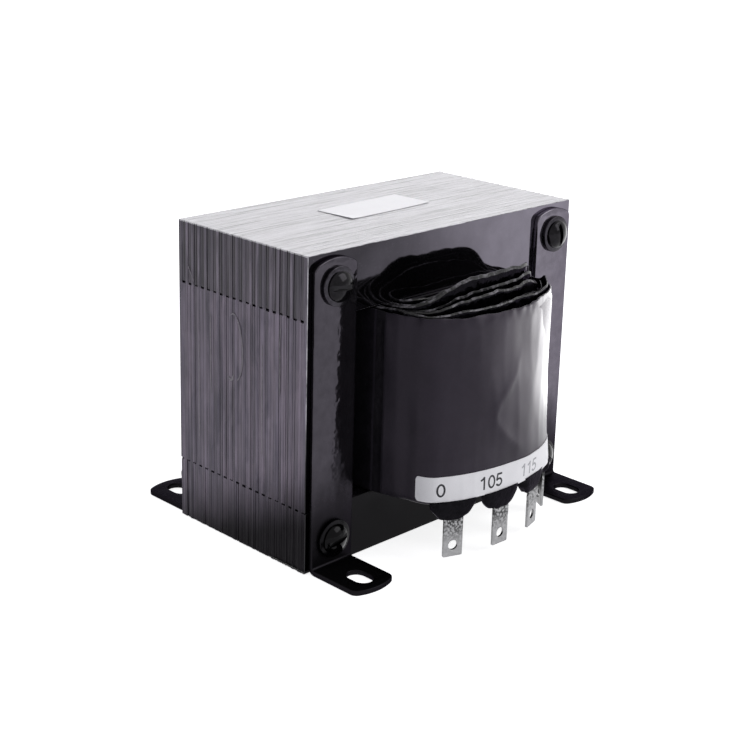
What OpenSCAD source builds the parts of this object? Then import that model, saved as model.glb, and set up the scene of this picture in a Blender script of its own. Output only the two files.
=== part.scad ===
// Chassis-mount power transformer with an open frame.
// Groups of E and I laminations are interleaved round a layer-wound coil on the centre leg.
// Four foot brackets are clamped to the core by through bolts, and solder lugs hang
// from taped roots under both ends of the coil.
// Millimetres, +Z up. The origin is on the mounting plane under the middle of the core.
// The end with the numbered tap strip faces -Y.

/* [Core] */
// Width of the centre leg of an E lamination
tongue_w = 38.1; // [30:0.1:50]
// Width of each outer leg
leg_w = 19.05; // [17:0.05:26]
// Width of each window
window_w = 19.05; // [16:0.05:26]
// Height of each window
window_h = 57.15; // [45:0.05:75]
// Height of each yoke
yoke_h = 19.05; // [17:0.05:26]
// Depth of the lamination stack
stack_d = 57.15; // [45:0.05:75]
// Lamination groups across the stack, an odd number
group_count = 39; // [15:2:45]
// How far every second E group stands back at its outer edges
group_step = 0.15; // [0.05:0.05:0.6]
// How far the I pieces stand back at their outer edges
i_step = 0.3; // [0.05:0.05:0.6]
// Height of the core's underside over the mounting plane
foot_drop = 0.2; // [0.1:0.1:1]

/* [Coil] */
// Clearance between the centre leg and the coil former
former_clearance = 0.3; // [0.2:0.05:0.6]
// Wall of the coil former
former_wall = 1.2; // [0.8:0.1:2]
// Corner radius of the coil former, outside
former_corner_r = 2.2; // [1.5:0.1:4]
// Gap between the finished coil and the outer legs
coil_gap = 5.8; // [3:0.1:7]
// How far the coil stands out past the core's faces
coil_bulge = 27.2; // [20:0.1:32]
// Corner radius of the finished coil in plan
coil_corner_r = 14; // [11:0.5:18]
// Radius of the coil's crowned front and back in plan
coil_crown_r = 56; // [50:1:80]
// Gap between the coil's ends and the yokes
coil_end_gap = 0.35; // [0.2:0.05:0.8]
// Winding layers, with one paper layer on each
layer_count = 6; // [4:1:8]
// Thickness of the paper on each layer
paper_t = 0.4; // [0.3:0.05:0.8]
// How far the papers stand past the wire at each end
paper_margin = 2.4; // [1:0.1:4]
// Clearance between neighbouring layers
layer_gap = 0.05; // [0.02:0.01:0.15]
// Thickness of the outer wrap
wrap_t = 0.7; // [0.4:0.1:1.2]

/* [Labels] */
// Thickness of the paper labels
label_t = 0.2; // [0.1:0.05:0.4]
// Height of the tap strip
strip_h = 7.8; // [5:0.1:12]
// Height of the strip's lower edge over the coil's lower end
strip_rise = 0.8; // [0.3:0.1:4]
// How far round each coil corner the strip runs, in degrees
strip_turn = 55; // [35:1:70]
// Length of the label on top of the core
top_label_l = 35; // [20:0.5:50]
// Width of the label on top of the core
top_label_w = 15; // [8:0.5:25]
// Place of the label on top of the core, back from the middle
top_label_back = 3.4; // [-10:0.1:10]
// Turn of the label on top of the core, in degrees
top_label_turn = 2; // [-5:0.5:5]

/* [Brackets] */
// Width of a bracket's strap
strap_w = 15.875; // [13.5:0.125:17]
// Thickness of a bracket's strap
strap_t = 1.6; // [1.2:0.1:2.5]
// Radius of the strap's two arched ends
strap_end_r = 16; // [12:0.5:24]
// Radius of the rounded corners beside each arch
strap_corner_r = 2.5; // [1:0.1:4]
// Distance from the core's top down to the top of a strap
strap_top_gap = 1.4; // [0.6:0.1:2.5]
// Inside radius of the bend at the foot
bend_r = 0.8; // [0.5:0.1:2]
// Reach of a foot from the core's face to its tip
foot_reach = 21.2; // [19:0.1:28]
// Reach of the slot's centre from the core's face
slot_reach = 13.4; // [11:0.1:15]
// Width of the slot in a foot
slot_w = 6; // [4:0.1:7]
// Length of the slot in a foot, end to end
slot_l = 8.7; // [7.5:0.1:11]

/* [Bolts] */
// Diameter of the through bolts
bolt_d = 4.8; // [4:0.1:5.5]
// Radial clearance of the bolt holes in laminations and brackets
bolt_hole_clearance = 0.3; // [0.15:0.05:0.5]
// Radial clearance of the washers and nuts on the bolts
bolt_fit = 0.05; // [0.02:0.01:0.15]
// Diameter of a bolt head
head_d = 9; // [8:0.1:10.5]
// Height of a bolt head
head_h = 2.3; // [1.8:0.1:3.5]
// Height of the straight rim under the head's dome
head_rim = 0.7; // [0.4:0.1:1.2]
// Width of the screwdriver slot
driver_w = 1.3; // [0.8:0.1:1.6]
// Depth of the screwdriver slot
driver_depth = 1.1; // [0.6:0.1:1.4]
// Outside diameter of the washers
washer_d = 11.6; // [11:0.1:13]
// Thickness of the washers
washer_t = 1.3; // [0.8:0.1:2]
// Size of the nuts across the flats
nut_af = 9.525; // [8:0.025:11]
// Height of the nuts
nut_h = 3.2; // [2.5:0.1:5]
// Chamfer on the outer corners of the nuts
nut_chamfer = 0.5; // [0.2:0.1:0.8]
// How far a bolt's end stands out of its nut
bolt_end = 1.6; // [0.5:0.1:4]

/* [Lugs] */
// Lugs under each end of the coil
lug_count = 4; // [2:1:4]
// Distance between lugs along the coil's outline
lug_pitch = 17.6; // [12:0.1:18]
// Place of the first lug along the outline, from the middle
lug_first = -19.7; // [-22:0.1:-16]
// Width of a lug
lug_w = 6.35; // [5:0.05:8]
// Thickness of a lug
lug_t = 0.8; // [0.5:0.1:1]
// Height of a lug's lower end over the mounting plane
lug_low = 2.5; // [1:0.1:5]
// Diameter of the wire hole in a lug
lug_hole_d = 3; // [2:0.1:3.6]
// Height of the wire hole over a lug's lower end
lug_hole_up = 3.6; // [2.6:0.1:5]
// Depth of a lug's middle plane behind the outside of the wrap
lug_inset = 0.5; // [0.2:0.1:1]
// Length of the taped root round a lug
root_l = 11; // [9.5:0.1:14]
// Thickness of the taped root round a lug
root_d = 4.4; // [3:0.1:6]
// Depth of the taped root under the coil
root_h = 5.2; // [3:0.1:7]
// Depth of the root's middle behind the lug's middle plane
root_set = 1; // [0:0.1:1.2]
// Clearance between a lug and its taped root
root_fit = 0.05; // [0.02:0.01:0.15]

/* [Hidden] */
$fn = 64;
// Sides of the large circles that the crowns are cut from
crown_sides = 360;

// A little extra length for cutting tools
over = 1;
core_w = tongue_w + 2 * window_w + 2 * leg_w;
core_h = window_h + 2 * yoke_h;
core_top = foot_drop + core_h;
face_y = stack_d / 2;
group_t = stack_d / group_count;

// The bolts stand in the middle of the leg and the yoke at each corner
bolt_x = core_w / 2 - leg_w / 2;
bolt_low = foot_drop + yoke_h / 2;
bolt_high = core_top - yoke_h / 2;
bolt_hole_r = bolt_d / 2 + bolt_hole_clearance;
strap_top = core_top - strap_top_gap;
seat_y = face_y + strap_t + washer_t;
bolt_l = 2 * seat_y + nut_h + bolt_end;

coil_low = foot_drop + yoke_h + coil_end_gap;
coil_h = window_h - 2 * coil_end_gap;
inner_half_w = tongue_w / 2 + former_clearance + former_wall;
inner_reach = face_y + former_clearance + former_wall;
outer_half_w = tongue_w / 2 + window_w - coil_gap;
outer_reach = face_y + coil_bulge;
// The wire of the first half of the layers makes the inner winding
inner_layers = floor(layer_count / 2);

function mix(a, b, t) = a + (b - a) * t;

// Plan of the coil at a share t of its build: 0 at the former, 1 outside the wrap.
// The front and back are flat on the former and crown more with each layer.
// The corner arcs and the crown arcs of each end meet tangentially.
function half_w(t) = mix(inner_half_w, outer_half_w, t);
function reach(t) = mix(inner_reach, outer_reach, t);
function corner_r(t) = mix(former_corner_r, coil_corner_r, t);
function crown_r(t) = coil_crown_r / t;
function corner_x(t) = half_w(t) - corner_r(t);
function crown_y(t) = crown_r(t) - reach(t);
function corner_rise(t) = sqrt(pow(crown_r(t) - corner_r(t), 2) - pow(corner_x(t), 2));
function corner_y(t) = corner_rise(t) - crown_y(t);

// Direction of the outline at a length along it from the middle of the front,
// and the point there, on the finished coil shrunk by an inset
function turn_limit() = asin(corner_x(1) / (crown_r(1) - corner_r(1)));
function crown_length(inset) = (coil_crown_r - inset) * turn_limit() * PI / 180;
function past_crown(s, inset) = max(abs(s) - crown_length(inset), 0);
function turn_at(s, inset) = sign(s) * (
    min(abs(s), crown_length(inset)) / (coil_crown_r - inset)
    + past_crown(s, inset) / (coil_corner_r - inset)) * 180 / PI;
function arc_point(centre, r, a) = centre + r * [sin(a), -cos(a)];
function point_at(s, inset) = abs(s) <= crown_length(inset)
    ? arc_point([0, crown_y(1)], coil_crown_r - inset, turn_at(s, inset))
    : arc_point([sign(s) * corner_x(1), -corner_y(1)], coil_corner_r - inset, turn_at(s, inset));

// One flat group of laminations, drawn in XZ and standing between two depths
module group_plate(index) {
    translate([0, -face_y + (index + 1) * group_t, foot_drop])
        rotate([90, 0, 0])
            linear_extrude(group_t)
                children();
}

module bolt_holes_flat() {
    for (x = [-bolt_x, bolt_x], z = [yoke_h / 2, core_h - yoke_h / 2])
        translate([x, z])
            circle(r = bolt_hole_r);
}

// E with its yoke on top; its outer edges stand back by a step
module e_flat(step) {
    difference() {
        translate([-core_w / 2 + step, yoke_h])
            square([core_w - 2 * step, core_h - yoke_h - step]);
        for (x = [-tongue_w / 2 - window_w, tongue_w / 2])
            translate([x, yoke_h - over])
                square([window_w, window_h + over]);
        bolt_holes_flat();
    }
}

// I that closes the open end of an E, at the bottom
module i_flat(step) {
    difference() {
        translate([-core_w / 2 + step, step])
            square([core_w - 2 * step, yoke_h - step]);
        bolt_holes_flat();
    }
}

module upside_down() {
    translate([0, core_h])
        mirror([0, 1])
            children();
}

module e_laminations_yoke_up() {
    color("dimgray")
        for (i = [0 : 2 : group_count - 1])
            group_plate(i) e_flat(0);
}

module i_laminations_lower() {
    color("slategray")
        for (i = [0 : 2 : group_count - 1])
            group_plate(i) i_flat(i_step);
}

module e_laminations_yoke_down() {
    color("gray")
        for (i = [1 : 2 : group_count - 2])
            group_plate(i) upside_down() e_flat(group_step);
}

module i_laminations_upper() {
    color("lightslategray")
        for (i = [1 : 2 : group_count - 2])
            group_plate(i) upside_down() i_flat(i_step);
}

// Plan of the coil former, grown outwards by a distance
module former_plan(grow) {
    side_y = inner_reach - former_corner_r;
    side_x = inner_half_w - former_corner_r;
    square([2 * (inner_half_w + grow), 2 * side_y], center = true);
    square([2 * side_x, 2 * (inner_reach + grow)], center = true);
    for (x = [-side_x, side_x], y = [-side_y, side_y])
        translate([x, y])
            circle(r = former_corner_r + grow);
}

// Plan of the coil at a share of its build, grown outwards by a distance
module crowned_plan(t, grow) {
    wedge = 2 * crown_r(t) / corner_rise(t);
    square([2 * (half_w(t) + grow), 2 * corner_y(t)], center = true);
    square([2 * corner_x(t), 2 * corner_y(t) + corner_r(t)], center = true);
    for (sx = [-1, 1], sy = [-1, 1])
        translate([sx * corner_x(t), sy * corner_y(t)])
            circle(r = corner_r(t) + grow);
    for (turn = [0, 180])
        rotate(turn)
            translate([0, crown_y(t)])
                intersection() {
                    circle(r = crown_r(t) + grow, $fn = crown_sides);
                    polygon([
                        [-corner_x(t), -corner_rise(t)],
                        [-wedge * corner_x(t), -wedge * corner_rise(t)],
                        [wedge * corner_x(t), -wedge * corner_rise(t)],
                        [corner_x(t), -corner_rise(t)]
                    ]);
                }
}

module coil_plan(t, grow = 0) {
    if (t == 0)
        former_plan(grow);
    else
        crowned_plan(t, grow);
}

// Closed ring of one coil layer between two plans
module coil_ring(t_in, grow_in, t_out, grow_out, margin) {
    translate([0, 0, coil_low + margin])
        linear_extrude(coil_h - 2 * margin)
            difference() {
                coil_plan(t_out, grow_out);
                coil_plan(t_in, grow_in);
            }
}

function layer_share(k) = k / layer_count;
// The last layer's wire ends under the wrap; the others end under their papers
function cover_t(k) = k == layer_count ? wrap_t : paper_t;

module wire_layers(first, last) {
    for (k = [first : last])
        coil_ring(
            layer_share(k - 1), layer_gap,
            layer_share(k), -cover_t(k) - layer_gap,
            paper_margin
        );
}

module coil_former() {
    color("saddlebrown")
        translate([0, 0, coil_low])
            linear_extrude(coil_h)
                difference() {
                    former_plan(0);
                    square([
                        2 * (inner_half_w - former_wall),
                        2 * (inner_reach - former_wall)
                    ], center = true);
                }
}

module layer_papers() {
    color([0.1, 0.1, 0.11])
        for (k = [1 : layer_count - 1])
            coil_ring(layer_share(k), -paper_t, layer_share(k), 0, 0);
}

module inner_winding() {
    color("sienna")
        wire_layers(1, inner_layers);
}

module outer_winding() {
    color("peru")
        wire_layers(inner_layers + 1, layer_count);
}

module outer_wrap() {
    color([0.14, 0.13, 0.15])
        coil_ring(1, -wrap_t, 1, 0, 0);
}

// Paper strip on the front of the wrap, ending part of the way round both corners
module tap_strip() {
    reach_out = 2 * coil_corner_r;
    end = [
        corner_x(1) + reach_out * sin(strip_turn),
        -corner_y(1) - reach_out * cos(strip_turn)
    ];
    front = -outer_reach - over;
    color("whitesmoke")
        translate([0, 0, coil_low + strip_rise])
            linear_extrude(strip_h)
                intersection() {
                    difference() {
                        coil_plan(1, label_t);
                        coil_plan(1);
                    }
                    polygon([
                        [-corner_x(1), -corner_y(1)],
                        [-end.x, end.y],
                        [-end.x, front],
                        [end.x, front],
                        end,
                        [corner_x(1), -corner_y(1)]
                    ]);
                }
}

module top_label() {
    color("white")
        translate([0, top_label_back, core_top + label_t / 2])
            rotate(top_label_turn)
                cube([top_label_l, top_label_w, label_t], center = true);
}

// Section of a bracket in YZ: a strap up the core's face and a foot away from it
module bracket_section() {
    outer_r = bend_r + strap_t;
    translate([-face_y - strap_t, outer_r])
        square([strap_t, strap_top - outer_r]);
    translate([-face_y - foot_reach, 0])
        square([foot_reach - outer_r, strap_t]);
    translate([-face_y - outer_r, outer_r])
        intersection() {
            difference() {
                circle(r = outer_r);
                circle(r = bend_r);
            }
            translate([0, -outer_r])
                square(outer_r);
        }
}

// What is cut off a straight end to leave an arch between rounded corners,
// in the plane of the strap with the arch's centre at the origin
module arch_waste() {
    side_x = strap_w / 2 - strap_corner_r;
    side_y = sqrt(pow(strap_end_r - strap_corner_r, 2) - pow(side_x, 2));
    wedge = 2 * strap_end_r / side_y;
    difference() {
        translate([-strap_w, side_y])
            square([2 * strap_w, strap_end_r - side_y + over]);
        for (x = [-side_x, side_x])
            translate([x, side_y])
                circle(r = strap_corner_r);
        intersection() {
            circle(r = strap_end_r, $fn = 96);
            polygon([[0, 0], [-wedge * side_x, wedge * side_y], [wedge * side_x, wedge * side_y]]);
        }
    }
}

// Bracket at the front right corner, with its bolts on X = 0
module bracket() {
    difference() {
        translate([-strap_w / 2, 0, 0])
            rotate([90, 0, 90])
                linear_extrude(strap_w)
                    bracket_section();
        translate([0, -face_y + over, strap_top - strap_end_r])
            rotate([90, 0, 0])
                linear_extrude(strap_t + 2 * over)
                    arch_waste();
        translate([0, -face_y - foot_reach + strap_end_r, -over])
            linear_extrude(strap_t + 2 * over)
                rotate(180)
                    arch_waste();
        for (z = [bolt_low, bolt_high])
            translate([0, -face_y + over, z])
                rotate([90, 0, 0])
                    cylinder(r = bolt_hole_r, h = strap_t + 2 * over);
        for (y = [-1, 1] * (slot_l - slot_w) / 2)
            translate([0, -face_y - slot_reach + y, -over])
                cylinder(d = slot_w, h = strap_t + 2 * over);
        translate([-slot_w / 2, -face_y - slot_reach - (slot_l - slot_w) / 2, -over])
            cube([slot_w, slot_l - slot_w, strap_t + 2 * over]);
    }
}

module bracket_at(x, back) {
    color([0.09, 0.09, 0.1])
        translate([x, 0, 0])
            mirror([0, back, 0])
                bracket();
}

module front_left_bracket() {
    bracket_at(-bolt_x, 0);
}

module front_right_bracket() {
    bracket_at(bolt_x, 0);
}

module back_left_bracket() {
    bracket_at(-bolt_x, 1);
}

module back_right_bracket() {
    bracket_at(bolt_x, 1);
}

// Bolt along +Y with its head's underside at the origin and its slot turned by an angle
module bolt(slot_turn) {
    dome_h = head_h - head_rim;
    dome_r = (pow(head_d / 2, 2) + pow(dome_h, 2)) / (2 * dome_h);
    rotate([-90, 0, 0])
        cylinder(d = bolt_d, h = bolt_l);
    difference() {
        rotate([90, 0, 0])
            intersection() {
                cylinder(d = head_d, h = head_h + over);
                translate([0, 0, head_h - dome_r])
                    sphere(r = dome_r, $fn = 128);
            }
        rotate([0, slot_turn, 0])
            translate([-head_d, -head_h - over, -driver_w / 2])
                cube([2 * head_d, driver_depth + over, driver_w]);
    }
}

module bolt_at(x, z, slot_turn) {
    color([0.25, 0.25, 0.27])
        translate([x, -seat_y, z])
            bolt(slot_turn);
}

module upper_left_bolt() {
    bolt_at(-bolt_x, bolt_high, 4);
}

module upper_right_bolt() {
    bolt_at(bolt_x, bolt_high, 82);
}

module lower_left_bolt() {
    bolt_at(-bolt_x, bolt_low, -12);
}

module lower_right_bolt() {
    bolt_at(bolt_x, bolt_low, 35);
}

// Hexagon nut on the back washer, its outer corners chamfered
module nut_at(x, z) {
    corner = nut_af / 2 / cos(30);
    color([0.3, 0.3, 0.32])
        translate([x, seat_y, z])
            rotate([-90, 0, 0])
                difference() {
                    intersection() {
                        cylinder(r = corner, h = nut_h, $fn = 6);
                        rotate_extrude()
                            polygon([
                                [0, 0],
                                [corner, 0],
                                [corner, nut_h - nut_chamfer],
                                [corner - 2 * nut_chamfer, nut_h],
                                [0, nut_h]
                            ]);
                    }
                    translate([0, 0, -over])
                        cylinder(r = bolt_d / 2 + bolt_fit, h = nut_h + 2 * over);
                }
}

module upper_left_nut() {
    nut_at(-bolt_x, bolt_high);
}

module upper_right_nut() {
    nut_at(bolt_x, bolt_high);
}

module lower_left_nut() {
    nut_at(-bolt_x, bolt_low);
}

module lower_right_nut() {
    nut_at(bolt_x, bolt_low);
}

// The four washers on one face, from an inner to an outer depth
module washers(inner_y) {
    color([0.2, 0.2, 0.21])
        for (x = [-bolt_x, bolt_x], z = [bolt_low, bolt_high])
            translate([x, inner_y, z])
                rotate([-90, 0, 0])
                    difference() {
                        cylinder(d = washer_d, h = washer_t);
                        translate([0, 0, -over])
                            cylinder(r = bolt_d / 2 + bolt_fit, h = washer_t + 2 * over);
                    }
}

module front_washers() {
    washers(-seat_y);
}

module back_washers() {
    washers(seat_y - washer_t);
}

// Turns a child at the origin to stand on the coil's outline, one place for each lug
module lug_place(index, back) {
    s = lug_first + index * lug_pitch;
    spot = point_at(s, lug_inset);
    rotate(back * 180)
        translate([spot.x, spot.y, 0])
            rotate(turn_at(s, lug_inset))
                children();
}

// Flat solder lug, from its free end up to the underside of the wrap
module lug() {
    difference() {
        translate([-lug_w / 2, -lug_t / 2, lug_low])
            cube([lug_w, lug_t, coil_low - lug_low]);
        translate([0, lug_t, lug_low + lug_hole_up])
            rotate([90, 0, 0])
                cylinder(d = lug_hole_d, h = 2 * lug_t);
    }
}

module lug_at(index, back) {
    if (index < lug_count)
        color("silver")
            lug_place(index, back) lug();
}

module front_lug_1() {
    lug_at(0, 0);
}

module front_lug_2() {
    lug_at(1, 0);
}

module front_lug_3() {
    lug_at(2, 0);
}

module front_lug_4() {
    lug_at(3, 0);
}

module back_lug_1() {
    lug_at(0, 1);
}

module back_lug_2() {
    lug_at(1, 1);
}

module back_lug_3() {
    lug_at(2, 1);
}

module back_lug_4() {
    lug_at(3, 1);
}

// Taped root round a lug, with round ends and a slit for the lug
module lug_root() {
    straight = root_l - root_d;
    translate([0, 0, coil_low - root_h])
        linear_extrude(root_h)
            difference() {
                translate([0, root_set]) {
                    square([straight, root_d], center = true);
                    for (x = [-straight / 2, straight / 2])
                        translate([x, 0])
                            circle(d = root_d);
                }
                square([lug_w + 2 * root_fit, lug_t + 2 * root_fit], center = true);
            }
}

module lug_roots(back) {
    color([0.08, 0.08, 0.09])
        for (i = [0 : lug_count - 1])
            lug_place(i, back) lug_root();
}

module front_lug_roots() {
    lug_roots(0);
}

module back_lug_roots() {
    lug_roots(1);
}

e_laminations_yoke_up();
i_laminations_lower();
e_laminations_yoke_down();
i_laminations_upper();
coil_former();
layer_papers();
inner_winding();
outer_winding();
outer_wrap();
tap_strip();
top_label();
front_left_bracket();
front_right_bracket();
back_left_bracket();
back_right_bracket();
upper_left_bolt();
upper_right_bolt();
lower_left_bolt();
lower_right_bolt();
upper_left_nut();
upper_right_nut();
lower_left_nut();
lower_right_nut();
front_washers();
back_washers();
front_lug_1();
front_lug_2();
front_lug_3();
front_lug_4();
back_lug_1();
back_lug_2();
back_lug_3();
back_lug_4();
front_lug_roots();
back_lug_roots();
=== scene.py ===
"""Looks of an open-frame chassis transformer, built round its packed solids."""

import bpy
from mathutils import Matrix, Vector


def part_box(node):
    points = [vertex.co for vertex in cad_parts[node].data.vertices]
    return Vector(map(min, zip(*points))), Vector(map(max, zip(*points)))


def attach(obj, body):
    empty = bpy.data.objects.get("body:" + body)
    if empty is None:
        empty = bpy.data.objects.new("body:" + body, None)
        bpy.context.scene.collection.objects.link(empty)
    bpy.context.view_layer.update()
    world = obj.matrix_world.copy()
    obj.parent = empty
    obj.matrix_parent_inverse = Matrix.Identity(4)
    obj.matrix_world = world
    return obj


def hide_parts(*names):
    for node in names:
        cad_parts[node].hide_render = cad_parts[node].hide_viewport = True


bl_info = {
    "name": "Chassis transformer looks",
    "version": (1, 0, 0),
    "blender": (4, 5, 0),
    "location": "3D View > Sidebar > Transformer",
    "description": "Dresses the packed transformer with sheets, varnish, wrap, labels and lugs",
    "category": "Object",
}

import math
from functools import cache
from types import SimpleNamespace

import bmesh
import bpy
import numpy as np
from bpy.props import (FloatProperty, FloatVectorProperty, IntProperty, PointerProperty,
                       StringProperty)
from mathutils import Vector, noise

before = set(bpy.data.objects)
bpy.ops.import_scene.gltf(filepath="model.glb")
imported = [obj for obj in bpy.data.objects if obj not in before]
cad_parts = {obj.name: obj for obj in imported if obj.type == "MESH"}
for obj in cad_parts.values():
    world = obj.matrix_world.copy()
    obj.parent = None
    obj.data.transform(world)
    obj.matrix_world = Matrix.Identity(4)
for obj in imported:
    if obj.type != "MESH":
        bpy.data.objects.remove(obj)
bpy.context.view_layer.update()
BODY = "root"
MM = 0.001
TAU = 2 * math.pi

# Sizes that the packed solids give, in millimetres
CORE_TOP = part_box("e_laminations_yoke_up")[1].z / MM
YOKE_H = CORE_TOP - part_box("e_laminations_yoke_down")[1].z / MM
CORE_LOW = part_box("e_laminations_yoke_up")[0].z / MM - YOKE_H
CORE_HALF_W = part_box("e_laminations_yoke_up")[1].x / MM
FACE_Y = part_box("e_laminations_yoke_up")[1].y / MM
COIL_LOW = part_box("outer_wrap")[0].z / MM
COIL_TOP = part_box("outer_wrap")[1].z / MM
COIL_HALF_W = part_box("outer_wrap")[1].x / MM
COIL_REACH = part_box("outer_wrap")[1].y / MM
FORMER_HALF_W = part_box("coil_former")[1].x / MM
FORMER_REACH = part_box("coil_former")[1].y / MM
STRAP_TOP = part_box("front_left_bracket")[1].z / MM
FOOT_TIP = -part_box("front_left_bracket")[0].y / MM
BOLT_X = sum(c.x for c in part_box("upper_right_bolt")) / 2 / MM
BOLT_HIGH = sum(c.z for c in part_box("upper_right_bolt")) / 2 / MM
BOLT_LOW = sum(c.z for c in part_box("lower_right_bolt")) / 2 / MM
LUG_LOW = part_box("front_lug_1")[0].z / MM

# From here outwards the coil is clear of the core's windows.
FREE_Y = FACE_Y - 2


def length(name, description, mm, least=0.0):
    """A length that is given in millimetres and kept in metres, Blender's own unit."""
    return FloatProperty(name=name, description=description, default=mm * MM, min=least,
                         precision=5, subtype="DISTANCE")


def angle(name, description, degrees):
    return FloatProperty(name=name, description=description, default=math.radians(degrees),
                         subtype="ANGLE")


def power(name, description, watts):
    return FloatProperty(name=name, description=description, default=watts, min=0.0, precision=3,
                         subtype="POWER")


def number(name, description, default, least):
    return IntProperty(name=name, description=description, default=default, min=least)


def colour(name, description, default):
    return FloatVectorProperty(name=name, description=description, default=default, size=3,
                               subtype="COLOR", min=0.0, max=1.0)


class CoreSizes(bpy.types.PropertyGroup):
    """Sizes of the laminated core"""
    tongue_w: length("Centre leg", "Width of the centre leg", 38.1)
    leg_w: length("Outer leg", "Width of an outer leg", 19.05)
    groups: number("Groups", "Lamination groups across the stack", 39, 3)
    sheets: number("Sheets", "Sheets in one group", 3, 1)
    step: length("Group step", "How far every second group stands back", 0.1)
    i_step: length("I step", "How far the I sheets stand back", 0.18)
    top_step: length("Top step", "How far groups stand back under the flush top", 0.04)
    rib: length("Rib", "How far the outer sheets of a group stand back", 0.05)
    scatter: length("Scatter", "How unevenly single sheets stand", 0.03)
    burr: length("Edge break", "Chamfer on the sheet edges", 0.1)
    worn: length("Worn edge", "Chamfer on the outermost sheet", 0.16)
    joint: length("Joint", "Largest gap between E and I sheets", 0.8)


class CoilSizes(bpy.types.PropertyGroup):
    """Sizes of the wound coil"""
    corner_r: length("Corner", "Corner radius of the finished coil", 14.0)
    inner_r: length("Former corner", "Corner radius of the former", 2.2)
    crown_r: length("Crown", "Radius of the finished coil's front and back", 56.0)
    layers: number("Layers", "Winding layers", 6, 2)
    wrap_t: length("Wrap", "Thickness of the outer wrap", 0.7)
    paper_t: length("Paper", "Thickness of a layer's paper at its edge", 0.75)
    margin: length("Margin", "How far papers stand past the wire", 2.4)
    wire_d: length("Wire", "Diameter of the wire", 0.95)
    crease: length("Crease", "Depth of the creases in the wrap", 0.22)
    dent: length("Dent", "Depth of the broad dents in the wrap", 0.6)
    fold: length("Fold", "Height of the fold in the front of the wrap", 0.6)
    lean: length("Lean", "How far the wrap leans in over half its height at the right", 0.9)
    flank: length("Flank", "How far one flank of each end draws in before its corner", 2.5)
    cover_end: length("Cover end", "Where the wrap's cover ends on two flanks", 32.6)
    hump: length("Hump", "How far the papers stand up at one corner", 7.2)
    ear: length("Ear", "Height of the torn ear on the outer papers", 1.8)
    ruffle: length("Ruffle", "Unevenness of the paper edges", 0.8)


class BracketSizes(bpy.types.PropertyGroup):
    """Sizes of the foot brackets"""
    strap_w: length("Strap", "Width of a strap", 15.875)
    strap_t: length("Thickness", "Thickness of a strap", 1.6)
    end_r: length("Arch", "Radius of the arched ends", 16.0)
    corner_r: length("Corner", "Radius of the corners beside the arches", 2.5)
    bend_r: length("Bend", "Inside radius of the bend", 0.8)
    slot_w: length("Slot width", "Width of a foot's slot", 6.0)
    slot_l: length("Slot length", "Length of a foot's slot", 8.7)
    slot_reach: length("Slot reach", "Reach of the slot's centre from the core", 13.4)
    edge_r: length("Edge", "Rounding of the edges", 0.28)


class FastenerSizes(bpy.types.PropertyGroup):
    """Sizes of bolts, washers and nuts"""
    bolt_d: length("Bolt", "Diameter of the bolts", 4.8)
    pitch: length("Pitch", "Pitch of the thread", 0.95)
    head_d: length("Head", "Diameter of a head", 9.0)
    head_h: length("Head height", "Height of a head", 2.3)
    driver_w: length("Slot", "Width of the driver slot", 1.3)
    driver_depth: length("Slot depth", "Depth of the driver slot", 1.1)
    washer_d: length("Washer", "Diameter of a washer", 11.6)
    washer_t: length("Washer thickness", "Thickness of a washer", 1.3)
    nut_af: length("Nut", "Size of a nut across the flats", 9.525)
    nut_h: length("Nut height", "Height of a nut", 3.2)
    bolt_end: length("Bolt end", "How far a bolt stands out of its nut", 1.6)


class LugSizes(bpy.types.PropertyGroup):
    """Sizes of the lugs and their roots"""
    count: number("Lugs", "Lugs under each end", 4, 1)
    first: length("First", "Place of the first lug along the outline", -19.7, least=-1.0)
    pitch: length("Pitch", "Distance between lugs", 17.6)
    width: length("Width", "Width of a lug", 6.35)
    thick: length("Thickness", "Thickness of a lug", 0.8)
    hole_d: length("Hole", "Diameter of the wire hole", 3.0)
    hole_up: length("Hole height", "Height of the hole over the free end", 3.6)
    inset: length("Inset", "Depth of a lug behind the wrap's outside", 0.5)
    root_l: length("Root length", "Length of a taped root", 15.2)
    root_d: length("Root thickness", "Thickness of a taped root", 4.4)
    root_h: length("Root depth", "Depth of a taped root", 5.2)
    root_set: length("Root set-back", "Depth of the root behind the lug", 1.0)


class LabelSizes(bpy.types.PropertyGroup):
    """Sizes of the paper labels"""
    strip_h: length("Strip", "Height of the tap strip", 7.8)
    strip_rise: length("Strip rise", "Height of the strip over the coil's lower end", 0.8)
    strip_tilt: length("Strip tilt", "How much lower the strip's right end is", 1.2)
    strip_turn: angle("Strip turn", "How far round a corner the strip runs", 55)
    paper_t: length("Paper", "Thickness of the labels", 0.2)
    digit_h: length("Digits", "Height of the tap numbers", 4.1)
    digit_w: FloatProperty(name="Digit width", description="Stretch of the tap numbers",
                           default=1.26, min=0.1)
    pen: length("Pen", "Width of the strokes of the tap numbers", 0.62)
    taps: StringProperty(name="Taps", description="Numbers printed beside the lugs",
                         default="0 105 115")
    label_l: length("Label length", "Length of the label on the core", 35.0)
    label_w: length("Label width", "Width of the label on the core", 15.0)
    label_back: length("Label place", "Place of the label behind the middle", 3.4)
    label_turn: angle("Label turn", "Turn of the label on the core", 2)


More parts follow.
